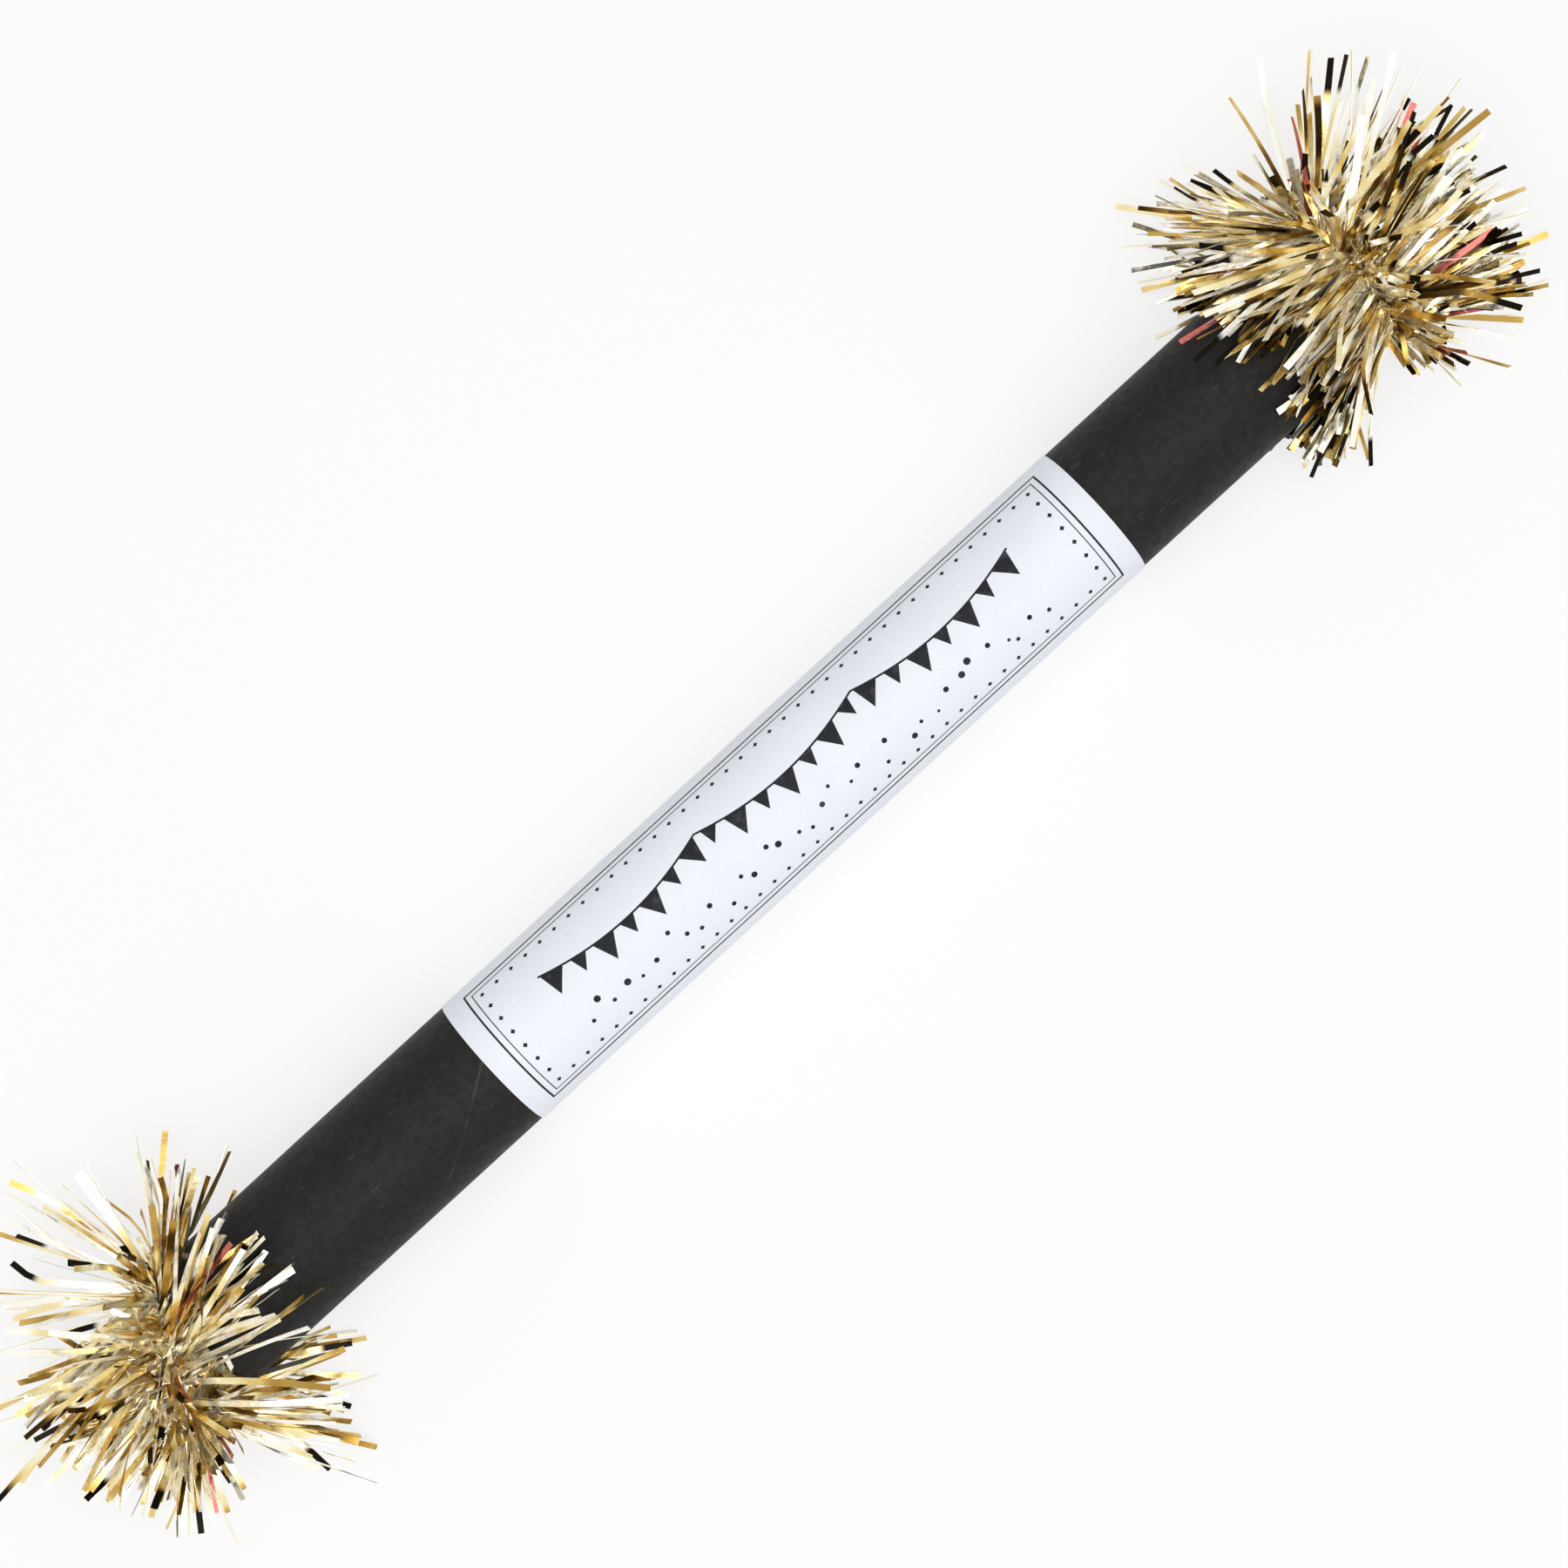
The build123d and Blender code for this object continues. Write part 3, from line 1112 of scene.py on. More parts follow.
@dataclass
class LabelPrint:
    """The print: a tree that draws the label's frame and ornaments flat, then wraps them round the band."""

    ink: Material
    end_margin: float = 5.0 * MM
    half_arc: float = 16.2 * MM
    line_width: float = 0.42 * MM
    thin_line_width: float = 0.22 * MM
    long_cuts: int = 12
    end_cuts: int = 40
    inset: float = 1.5 * MM
    dot_inset: float = 3.4 * MM
    dot_size: float = 0.55 * MM
    dot_gap: float = 3.9 * MM
    ink_height: float = 0.05 * MM
    ink_lift: float = 0.1
    swag_span: float = 42.0 * MM
    swag_count: int = 3
    swag_sag: float = 3.4 * MM
    swag_low: float = 3.2 * MM
    string_points: int = 121
    pennant_size: float = 3.0 * MM
    pennant_count: int = 21
    pennant_cuts: int = 3
    pennant_stretch: float = 1.15
    small_cut: float = -0.3
    loose_count: int = 34
    loose_low: float = -7.0 * MM
    loose_sizes: Span = (0.6, 1.5)
    dot_stray: float = 3.4 * MM
    seed: int = 21

    def __post_init__(self) -> None:
        """Start the tree, with the band's sizes as its inputs, and add up the swags."""
        self.pen = Grower("label_print_tree", floats("Length", "Radius", "Middle"))
        self.swags = self.swag_span * self.swag_count

    def bar(self, length: object, width: float, cuts: int) -> Value:
        """A flat bar of ink along X, with cuts across it."""
        size = self.pen.combine(length, width, self.ink_height)
        return self.pen.geo("MeshCube", {"Size": size, "Vertices X": cuts, "Vertices Y": 2, "Vertices Z": 2})

    def plate(self, corners: int, radius: float) -> Value:
        """A flat plate of ink with even sides."""
        return self.pen.geo("MeshCylinder", {"Vertices": corners, "Radius": radius, "Depth": self.ink_height})

    def points(self, count: object, start: object, step: object) -> Value:
        """Points in an even row."""
        inputs = {"Count": count, "Start Location": start, "Offset": step}
        return self.pen.geo("MeshLine", inputs, mode="OFFSET")

    def row(self, count: int, height: float) -> Value:
        """Points in an even row along the swags."""
        step = self.swags / count
        return self.points(count, ((step - self.swags) / 2, height, 0.0), (step, 0.0, 0.0))

    def strewn(self, points: Value, shape: Value, **more: Value) -> Value:
        """A shape on each point, turned and scaled by the inputs that are given."""
        inputs = {titled(name): value for name, value in more.items()}
        return self.pen.geo("InstanceOnPoints", {"Points": points, "Instance": shape, **inputs})

    def frame_lines(self) -> list[Value]:
        """Draw the two nested frames: a firm line and a fine one inside it.

        Returns:
            The eight bars.
        """
        pen = self.pen
        shapes = []
        for inset, width in ((0.0, self.line_width), (self.inset, self.thin_line_width)):
            across = self.half_arc - inset
            along = pen["Length"] - 2 * (self.end_margin + inset)
            long_bar = self.bar(along + width, width, self.long_cuts)
            end_bar = pen.moved(self.bar(2 * across, width, self.end_cuts), turn=(0.0, 0.0, math.pi / 2))
            for sign in (-1, 1):
                shapes.append(pen.moved(long_bar, (0.0, sign * across, 0.0)))
                shapes.append(pen.moved(end_bar, pen.combine(along * 0.5 * sign)))
        return shapes

    def dots(self) -> list[Value]:
        """Lay small lozenges inside the frame.

        Returns:
            The two rows and the two columns.
        """
        pen = self.pen
        lozenge = self.plate(4, self.dot_size)
        across = self.half_arc - self.dot_inset
        along = pen["Length"] - 2 * (self.end_margin + self.dot_inset)
        half = along * 0.5
        count = pen.math("ROUND", along / self.dot_gap)
        end_count = round(2 * across / self.dot_gap)
        end_step = 2 * across / end_count
        shapes = []
        for sign in (-1, 1):
            row_start = pen.combine(half * -1.0, sign * across)
            row = self.points(count + 1.0, row_start, pen.combine(along / count))
            column_start = pen.combine(half * sign, -across + end_step)
            column = self.points(end_count - 1, column_start, (0.0, end_step, 0.0))
            shapes += [self.strewn(row, lozenge), self.strewn(column, lozenge)]
        return shapes

    def hung(self) -> tuple[Value, Value]:
        """Where the string hangs.

        Returns:
            The string's place at a point along the label, and its slope as an angle.
        """
        pen = self.pen
        x = pen.split(pen.place)[0]
        share = pen.math("FRACT", (x + self.swags / 2) / self.swag_span)
        off_middle = share * 2.0 - 1.0
        rise = off_middle * off_middle * self.swag_sag
        slope = off_middle * (4 * self.swag_sag / self.swag_span)
        return pen.combine(x, rise + self.swag_low), pen.math("ARCTANGENT", slope)

    def string(self) -> Value:
        """Hang the string, in a few even swags along the label.

        Returns:
            The string as a flat strip.
        """
        pen = self.pen
        half = self.swags / 2 - self.ink_height
        ends = {"Start": (-half, 0.0, 0.0), "End": (half, 0.0, 0.0)}
        line = pen.geo("CurvePrimitiveLine", ends, mode="POINTS")
        parted = pen.geo("ResampleCurve", {"Curve": line, "Count": self.string_points})
        return pen.strip(pen.placed(parted, self.hung()[0]), self.line_width, self.ink_height)

    def pennants(self) -> Value:
        """Hang pennants square to the string, a large and a small one in turn.

        Returns:
            The pennants.
        """
        pen = self.pen
        plate = self.plate(3, self.pennant_size)
        fine = pen.geo("SubdivideMesh", {"Mesh": plate, "Level": self.pennant_cuts})
        pennant = pen.moved(fine, (0.0, -0.5 * self.pennant_size, 0.0), (0.0, 0.0, -math.pi / 2))
        place, lean = self.hung()
        spots = pen.placed(self.row(self.pennant_count, 0.0), place)
        size = pen.math("MODULO", pen.geo("InputIndex"), 2.0) * self.small_cut + 1.0
        scale = pen.combine(size, size * self.pennant_stretch, 1.0)
        return self.strewn(spots, pennant, rotation=pen.combine(0.0, 0.0, lean), scale=scale)

    def loose_dots(self) -> Value:
        """Strew dots of uneven size under the pennants.

        Returns:
            The dots.
        """
        pen, stray, seed = self.pen, self.dot_stray, self.seed
        number = pen.geo("InputIndex")
        along = pen.chance(-stray / 3, stray / 3, number, seed)
        across = pen.chance(-stray, stray, number, seed + 1)
        row = self.row(self.loose_count, self.loose_low)
        spots = pen.geo("SetPosition", {"Geometry": row, "Offset": pen.combine(along, across)})
        size = pen.chance(*self.loose_sizes, number, seed + 2)
        return self.strewn(spots, self.plate(12, self.dot_size), scale=pen.combine(size, size, 1.0))

    def build(self) -> Tree:
        """Draw the print flat and wrap it round the band.

        Returns:
            The tree, with the band's length, radius and middle as its inputs.
        """
        pen, radius = self.pen, self.pen["Radius"]
        ornaments = [self.string(), self.pennants(), self.loose_dots()]
        flat = pen.joined(self.frame_lines() + self.dots() + ornaments)
        x, y, z = pen.split(pen.place)
        reach = radius + (z + self.ink_height * self.ink_lift)
        angle = y / radius
        across, up = pen.math("SINE", angle), pen.math("COSINE", angle)
        place = pen.combine(x + pen["Middle"], reach * across, reach * up)
        return pen.coated(pen.placed(flat, place), self.ink)


# Tinsel tufts


class TuftSide(Enum):
    """The two mouths of the tube."""

    RIGHT = 1
    LEFT = -1

    @property
    def label(self) -> str:
        """The side's name in the frame."""
        return self.name.lower()


@dataclass(frozen=True)
class StrandLayer:
    """How one layer of strands grows from its stretch of the core, in millimetres and degrees."""

    count: int
    shortest: float
    longest: float
    lean_from: float
    lean_to: float
    sideways: float
    pivot: float = 0.0
    bend: float = 0.1
    kink: float = 0.6
    droop: float = 0.0
    hug: float = 1.0
    lopsided: float = 0.0
    # Darkest and palest bound the painted reflection level of the layer's strands.
    darkest: float = 0.0
    palest: float = 1.0
    gap: float = 0.0
    lift: float = 0.0

    def inputs(self) -> dict[str, object]:
        """The layer's values.

        Returns:
            The values by the tree's input names, in metres and radians.
        """
        values = {titled(item.name): getattr(self, item.name) for item in fields(self)}
        for label in ("Shortest", "Longest"):
            values[label] *= MM
        for label in ("Lean From", "Lean To", "Pivot", "Sideways"):
            values[label] = math.radians(values[label])
        return values


# Each layer starts with its count, its shortest and longest strand, its two leans and its sideways spread.
RIGHT_LAYERS = {
    "wreath_front": StrandLayer(340, 29.0, 38.0, -28.0, 72.0, 32.0, droop=0.04, lopsided=0.1),
    "wreath_up": StrandLayer(120, 15.0, 30.0, 55.0, 125.0, 26.0, pivot=90.0, darkest=0.2, lift=1.6),
    "wreath_back": StrandLayer(400, 26.0, 36.0, 108.0, 167.0, 21.0, pivot=180.0, droop=0.05, lopsided=0.06),
    "wreath_short": StrandLayer(420, 6.0, 16.0, -60.0, 170.0, 50.0, bend=0.3, kink=1.2),
    "wreath_inner": StrandLayer(
        220, 12.0, 24.0, -85.0, -20.0, 34.0, bend=0.2, kink=0.8, droop=0.02, darkest=0.2, palest=0.56
    ),
    "cone_long": StrandLayer(140, 33.0, 42.0, 4.0, 34.0, 12.0, kink=0.5, droop=0.04, hug=0.0, darkest=0.4),
    "plug_short": StrandLayer(
        180, 9.0, 17.0, 20.0, 75.0, 20.0, bend=0.2, kink=0.5, hug=0.0, darkest=0.1, palest=0.7
    ),
}
LEFT_CHANGES = {
    "wreath_front": dict(
        count=350, shortest=24.0, longest=33.0, lean_to=92.0, sideways=36.0, lopsided=0.24, darkest=0.12
    ),
    "wreath_up": dict(longest=29.0, darkest=0.22),
    "wreath_back": dict(
        count=360, longest=34.0, lean_from=88.0, sideways=24.0, lopsided=-0.14, darkest=0.12, gap=0.88
    ),
    "wreath_short": dict(darkest=0.12),
    "cone_long": dict(count=120, shortest=26.0, longest=35.0, lean_to=36.0),
}
LEFT_LAYERS = {label: replace(layer, **LEFT_CHANGES.get(label, {})) for label, layer in RIGHT_LAYERS.items()}


class TinselLayer(Grower):
    """A geometry group that grows one layer of foil strands from a stretch of the core."""

    SIZES = ("Side", "Rim", "Wall Radius", "Bore Radius", "Floor", "Width", "Thickness")
    # One share is the share of strands whose tips get a painted dark reflection.
    SHARES = ("Squeeze", "Parting", "Sparse", "Dark Tips", "Rose")
    STRAND_POINTS = 8
    DEEPEST = -11.0 * MM
    FLANK = (-1.0 * MM, -11.0 * MM)
    CROWN = (3.0 * MM, 12.0 * MM)
    BARE_FLANK = (1.0 * MM, 8.0 * MM)
    GAP_ACROSS = (-1.5 * MM, -5.0 * MM)
    GAP_UP = (-2.0 * MM, 2.0 * MM)
    WHOLE_WIDTH = (-12.0 * MM, 12.0 * MM)
    LOBE_SCALE = 60.0
    LOBES = (0.35, 0.65, 0.86, 1.06)
    KINK_AT = (0.2, 0.8)
    KINK_RARITY = 3.0
    LEAST_RADIUS = 0.01 * MM
    BESIDE_RIM = (4.0 * MM, -0.5 * MM)
    MOUTH_FLARE = 3.0
    SLIDE_AHEAD = 0.4
    SLIDE_ASIDE = 0.6
    TWIST = (-1.3, 1.3)
    WIDTHS = (0.75, 1.08)

    def __init__(self) -> None:
        """Draw the group."""
        own = floats(*(titled(item.name) for item in fields(StrandLayer)))
        special = {"Spine": "Geometry", "Count": "Int", "Seed": "Int"}
        super().__init__("tinsel_layer", floats(*self.SIZES, *self.SHARES) | own | special)
        self.number = self.geo("InputNamedAttribute", {"Name": "strand_number"}, data_type="INT")
        self.along = self.geo("SplineParameter", output="Factor")
        strands = self.placed(self.placed(self.planted(), self.bent()), self.laid())
        tilt = self.draw(8, 0.0, math.tau) + self.along * self.draw(7, *self.TWIST)
        strands = self.geo("SetCurveTilt", {"Curve": strands, "Tilt": tilt})
        # The first mark is each strand's painted reflection level, and the third says whether its tip gets a
        # painted dark reflection; rose strands are the foil's own colour.
        marks = {
            "foil_tint": self.draw(9, self["Darkest"], self["Palest"]),
            "foil_along": self.along,
            "foil_dark": self.below(self.draw(13), self["Dark Tips"]),
            "foil_rose": self.below(self.draw(14), self["Rose"]),
        }
        for name, value in marks.items():
            strands = self.marked(strands, name, value)
        width, thickness = self["Width"], self["Thickness"]
        self.give(Geometry=self.strip(strands, width, thickness, self.draw(10, *self.WIDTHS)))

    def draw(self, choice: int, low: object = 0.0, high: object = 1.0) -> Value:
        """A strand's own random number, with a seed of its own for each choice."""
        return self.chance(low, high, self.number, self["Seed"] + choice)

    def stray(self, choice: int) -> Value:
        """A strand's own random vector."""
        inputs = {0: (-1.0,) * 3, 1: (1.0,) * 3, 7: self.number, 8: self["Seed"] + choice}
        return self.add("FunctionNodeRandomValue", inputs, data_type="FLOAT_VECTOR")

    def marked(self, shape: Value, name: str, value: Value, kind: str = "FLOAT") -> Value:
        """A shape with a named value on each point."""
        inputs = {"Geometry": shape, "Name": name, "Value": value}
        return self.geo("StoreNamedAttribute", inputs, data_type=kind, domain="POINT")

    def heading(self) -> Value:
        """Choose which way each strand sets out from its place on the core.

        Returns:
            The heading, of any length.
        """
        _, y, z = self.split(self.place)
        radial = self.vector("NORMALIZE", self.place * ROUND_TUBE)
        axial = self.combine(self["Side"])
        lean = self.draw(1, self["Lean From"], self["Lean To"])
        flank = self.span(y, *self.FLANK) * self["Squeeze"]
        crown = self.span(z, *self.CROWN) * self["Parting"]
        lean = lean - (lean - self["Pivot"]) * self.larger(flank, crown)
        tilt = self.math("TANGENT", self["Sideways"]) * self.draw(2, -1.0, 1.0)
        out = axial * self.math("COSINE", lean) + radial * self.math("SINE", lean)
        level = out + self.vector("CROSS_PRODUCT", axial, radial) * tilt
        return level + self.combine(0.0, 0.0, self["Lift"])

    def roots(self, heading: Value) -> Value:
        """Number points on the core and take out those with no strand.

        Args:
            heading: Which way each strand sets out; one that would end deep in the ground is left out.

        Returns:
            The points that are left.
        """
        _, y, z = self.split(self.place)
        inputs = {"Curve": self["Spine"], "Count": self["Count"]}
        points = self.geo("CurveToPoints", inputs, "Points", mode="COUNT")
        numbered = self.marked(points, "strand_number", self.geo("InputIndex"), "INT")
        corner = self.span(y, *self.GAP_ACROSS) * self.span(z, *self.GAP_UP)
        bare = self.larger(self.span(y, *self.BARE_FLANK) * self["Sparse"], corner * self["Gap"])
        missing = self.below(self.draw(12), bare)
        tip = self.split(self.vector("NORMALIZE", heading))[2] * self["Longest"] + z
        pressed = self.below(tip - self["Floor"], self.DEEPEST)
        return self.geo("DeleteGeometry", {"Geometry": numbered, "Selection": self.larger(missing, pressed)})

    def planted(self) -> Value:
        """Plant straight strands on their roots, each with its own heading and length.

        Returns:
            The strands as curves.
        """
        heading = self.heading()
        lobes = self.span(self.grain(self.place, self.LOBE_SCALE, 1.0), *self.LOBES)
        length = self.draw(6, self["Shortest"], self["Longest"])
        lopsided = self.span(self.split(self.place)[1], *self.WHOLE_WIDTH, -1.0, 1.0) * self["Lopsided"]
        length = length * lopsided + length
        line = self.geo("CurvePrimitiveLine", {"Start": ORIGIN, "End": (0.0, 0.0, 1.0)}, mode="POINTS")
        inputs = {
            "Points": self.roots(heading),
            "Instance": self.geo("ResampleCurve", {"Curve": line, "Count": self.STRAND_POINTS}),
            "Rotation": self.add("FunctionNodeAlignRotationToVector", {"Vector": heading}, axis="Z"),
            "Scale": self.combine(1.0, 1.0, length * lobes),
        }
        return self.joined([self.geo("InstanceOnPoints", inputs)])

    def bent(self) -> Value:
        """Curve the strands, kink a few of them and let them droop.

        Returns:
            Where each of their points goes.
        """
        length = self.geo("SplineLength", output="Length")
        squared = self.along * self.along
        past = self.larger(self.along - self.draw(5, *self.KINK_AT), 0.0)
        few = self.math("POWER", self.draw(11), self.KINK_RARITY)
        curved = self.place + self.stray(3) * (self["Bend"] * length * squared)
        kinked = curved + self.stray(4) * (self["Kink"] * length * past * few)
        return kinked + self.combine(0.0, 0.0, self["Droop"] * length * squared * -1.0)

    def laid(self) -> Value:
        """Keep the strands off the tube's wall and above the ground.

        Returns:
            Where each of their points goes.
        """
        side, floor, hug = self["Side"], self["Floor"], self["Hug"]
        x, y, z = self.split(self.place)
        past_rim = x * side - self["Rim"]
        radius = self.math("SQRT", y * y + z * z)
        least = self.span(past_rim, *self.BESIDE_RIM) * hug * self["Wall Radius"]
        most = self["Bore Radius"] + self.larger(past_rim, 0.0) * self.MOUTH_FLARE + hug
        kept = self.math("MINIMUM", self.larger(radius, least), most)
        ratio = kept / self.larger(radius, self.LEAST_RADIUS)
        y, z = y * ratio, z * ratio
        sunk = self.larger(floor - z, 0.0)
        x = x + sunk * side * self.SLIDE_AHEAD
        y = y + sunk * self.math("SIGN", y) * self.SLIDE_ASIDE
        return self.combine(x, y, self.larger(z, floor))


@dataclass
class GarlandCore:
    """A tuft's core: two wires twisted together and bent into a stem, a spoke and a wreath."""

    side: TuftSide
    rim: float
    plug_depth: float
    wreath_radius: float
    wreath_offset: float
    tilt: float
    bend: float = 2.5 * MM
    wreath_end: float = math.radians(340.0)
    wire_radius: float = 0.3 * MM
    twist_pitch: float = 3.4 * MM
    wire_step: float = 0.4 * MM
    wire_sides: int = 8
    least_steps: int = 6
    knee_points: int = 7
    knee_step: float = math.radians(15.0)

    def spot(self, along: float, up: float) -> Vector:
        """A place in the tuft's upright middle plane, given along the tube from its rim and up."""
        return Vector((self.side.value * (self.rim + along), 0.0, up))

    def askew(self, across: float, up: float) -> Vector:
        """A place in the wreath's plane, which is turned about the upright."""
        turn = Vector((-math.sin(self.tilt), math.cos(self.tilt), 0.0))
        return self.spot(self.wreath_offset, up) + turn * across * self.side.value

    def arc(self, centre: tuple[float, float], radius: float, start: float, end: float) -> list[Vector]:
        """Points on an arc in the wreath's plane.

        Args:
            centre: The arc's centre, across and up.
            radius: Its radius.
            start: Its first angle, counted from straight down.
            end: Its last angle.

        Returns:
            The points.
        """
        count = max(self.least_steps, round(abs(end - start) * radius / self.wire_step))
        across, up = centre
        points = []
        for step in range(count + 1):
            angle = start + (end - start) * step / count
            points.append(self.askew(across + radius * math.sin(angle), up - radius * math.cos(angle)))
        return points

    def line(self) -> list[Vector]:
        """The core's line.

        Returns:
            Points along the stem, the bend to the spoke, the spoke and the wreath.
        """
        bend = self.bend
        reach = self.wreath_radius - bend
        drop = math.sqrt(reach**2 - bend**2)
        join = math.asin(bend / reach)
        knee = self.wreath_offset - bend
        points = [self.spot(-self.plug_depth, 0.0)]
        for step in range(self.knee_points):
            angle = self.knee_step * step
            points.append(self.spot(knee + bend * math.sin(angle), -bend * (1 - math.cos(angle))))
        points += self.arc((bend, -drop), bend, -math.pi / 2, join)
        return points + self.arc((0.0, 0.0), self.wreath_radius, join, self.wreath_end)[1:]

    def route(self) -> bpy.types.Curve:
        """Make the core's line.

        Returns:
            The line as a curve.
        """
        curve = bpy.data.curves.new(f"{self.side.label}_core_line", "CURVE")
        curve.dimensions = "3D"
        spline = curve.splines.new("POLY")
        points = self.line()
        spline.points.add(len(points) - 1)
        for point, place in zip(spline.points, points):
            point.co = (*place, 1.0)
        return curve

    def tree(self, wire: Material) -> Tree:
        """A geometry tree that twists two wires along a line.

        Args:
            wire: The wires' material.

        Returns:
            The tree, with the wires' sizes as its inputs.
        """
        kinds = {"Line": "Geometry", "Wire Sides": "Int"}
        pen = Grower("twisted_pair", kinds | floats("Wire Radius", "Twist Pitch", "Wire Step"))
        radius = pen["Wire Radius"]
        even = pen.geo("ResampleCurve", {"Curve": pen["Line"], "Length": pen["Wire Step"]}, mode="LENGTH")
        tilt = pen.geo("SplineParameter", output="Length") / pen["Twist Pitch"] * math.tau
        twisted = pen.geo("SetCurveTilt", {"Curve": even, "Tilt": tilt})
        inputs = {"Resolution": pen["Wire Sides"], "Radius": radius}
        ring = pen.geo("CurvePrimitiveCircle", inputs, mode="RADIUS")
        pair = pen.joined([pen.moved(ring, pen.combine(radius * sign)) for sign in (-1.0, 1.0)])
        wires = pen.geo("CurveToMesh", {"Curve": twisted, "Profile Curve": pair, "Fill Caps": True})
        return pen.coated(pen.joined([wires]), wire)

    def build(self, wire: Material) -> None:
        """Twist the wires and put them on their tuft.

        Args:
            wire: The wires' material.
        """
        label = self.side.label
        names = ("wire_radius", "twist_pitch", "wire_step", "wire_sides")
        values = {titled(name): getattr(self, name) for name in names}
        core = grow(f"{label}_twisted_core", self.tree(wire), values, self.route())
        smooth(core.data, STRAND_SHARP)
        mount(core, f"{label}_tuft", "garland_wire", f"{label}_garland_core")


@dataclass(frozen=True)
class TuftStyle:
    """How one tuft falls: its layers, its seed, its wreath's turn about the upright, and its shares.

    Squeeze says how far the strands of the -Y flank are swept to the front and back, parting the same for
    the crown, and sparse which share of strands the +Y flank lacks.
    """

    layers: dict[str, StrandLayer]
    seed: int
    tilt: float
    squeeze: float
    sparse: float
    # Share of strands whose tips get a painted dark reflection.
    dark_tips: float
    rose: float = 0.011
    parting: float = 0.5


STYLES = {
    TuftSide.RIGHT: TuftStyle(RIGHT_LAYERS, seed=29, tilt=0.0, squeeze=0.62, sparse=0.4, dark_tips=0.26),
    TuftSide.LEFT: TuftStyle(
        LEFT_LAYERS, seed=503, tilt=math.radians(-28.0), squeeze=0.25, sparse=0.62, dark_tips=0.12
    ),
}


@dataclass
class TinselTuft:
    """One tuft of garland: its twisted core wire and its foil fringe."""

    side: TuftSide
    tube: CardTube
    style: TuftStyle
    core_radius: float = 0.6 * MM
    strand_width: float = 1.35 * MM
    strand_thickness: float = 0.07 * MM
    stem_radius: float = 0.7 * MM
    wall_room: float = 0.7 * MM
    plug_run: float = 12.0 * MM
    plug_inset: float = 1.0 * MM
    cone_run: float = 14.0 * MM
    cone_depth: float = 10.0 * MM
    wreath_start: float = math.radians(20)
    wreath_sweep: float = math.radians(320)
    wreath_points: int = 96
    stem_turns: float = 9.0
    turn_points: int = 24
    seed_step: int = 100

    FRINGES = ("middle", "back_low", "back_high", "front_high", "front_low")

    def __post_init__(self) -> None:
        """Read the tuft's places from its core's node, and the ground's from the frame."""
        low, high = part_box(f"{self.side.label}_garland_core")
        near, far = sorted((self.side.value * low.x, self.side.value * high.x))
        self.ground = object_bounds()[0].z
        self.wreath_radius = high.z - self.core_radius
        self.wreath_offset = far - self.core_radius - self.tube.half_length
        self.plug_depth = self.tube.half_length - near

    def values(self) -> dict[str, object]:
        """The fringe tree's inputs.

        Returns:
            The values by the tree's input names.
        """
        sign, tube, style = self.side.value, self.tube, self.style
        rim = tube.half_length
        values = {
            "Side": float(sign),
            "Rim": rim,
            "Wall Radius": tube.cover_radius + self.wall_room,
            "Bore Radius": tube.bore_radius - self.wall_room,
            "Floor": self.ground + self.wall_room,
            "Width": self.strand_width,
            "Thickness": self.strand_thickness,
            "Wreath Radius": self.wreath_radius,
            "Wreath Offset": self.wreath_offset,
            "Wreath Tilt": style.tilt,
            "Stem Radius": self.stem_radius,
            "Seed": style.seed,
        }
        values |= {label: getattr(style, label.lower().replace(" ", "_")) for label in TinselLayer.SHARES}
        plug_start, cone_start = rim - self.plug_depth + self.plug_inset, rim - self.cone_depth
        for stretch, start, run in (("Plug", plug_start, self.plug_run), ("Cone", cone_start, self.cone_run)):
            values[f"{stretch} Start"] = sign * (start + run / 2) - run / 2
            values[f"{stretch} Run"] = run
        return values

    def spines(self, pen: Grower) -> dict[str, Value]:
        """The stretches of core that strands grow from.

        Args:
            pen: The fringe tree's pen.

        Returns:
            The wreath, the plug and the cone, as lines by name.
        """
        quarter = (0.0, math.pi / 2, 0.0)
        angles = {"Start Angle": self.wreath_start, "Sweep Angle": self.wreath_sweep}
        size = {"Resolution": self.wreath_points, "Radius": pen["Wreath Radius"]}
        upright = pen.moved(pen.geo("CurveArc", size | angles, mode="RADIUS"), turn=quarter)
        middle = pen.combine((pen["Rim"] + pen["Wreath Offset"]) * pen["Side"])
        spines = {"wreath": pen.moved(upright, middle, pen.combine(0.0, 0.0, pen["Wreath Tilt"]))}
        for stretch in ("Plug", "Cone"):
            inputs = {
                "Resolution": self.turn_points,
                "Rotations": self.stem_turns,
                "Start Radius": pen["Stem Radius"],
                "End Radius": pen["Stem Radius"],
                "Height": pen[f"{stretch} Run"],
            }
            start = pen.combine(pen[f"{stretch} Start"])
            spines[stretch.lower()] = pen.moved(pen.geo("CurveSpiral", inputs), start, quarter)
        return spines

    def fringe_tree(self, layer: Tree, foil: Material, labels: Sequence[str]) -> Tree:
        """Build the tree of the fringe.

        Args:
            layer: The group that grows one layer of strands.
            foil: The strands' material.
            labels: The names of the tree's inputs.

        Returns:
            The tree.
        """
        pen = Grower("tinsel_tuft", floats(*labels) | {"Seed": "Int"})
        spines = self.spines(pen)
        shared = {label: pen[label] for label in TinselLayer.SIZES + TinselLayer.SHARES}
        strands = []
        for order, (label, choices) in enumerate(self.style.layers.items()):
            own = {"Spine": spines[label.split("_")[0]], "Seed": pen["Seed"] + self.seed_step * order}
            strands.append(pen.geo("Group", choices.inputs() | shared | own, node_tree=layer))
        return pen.coated(pen.joined(strands), foil)

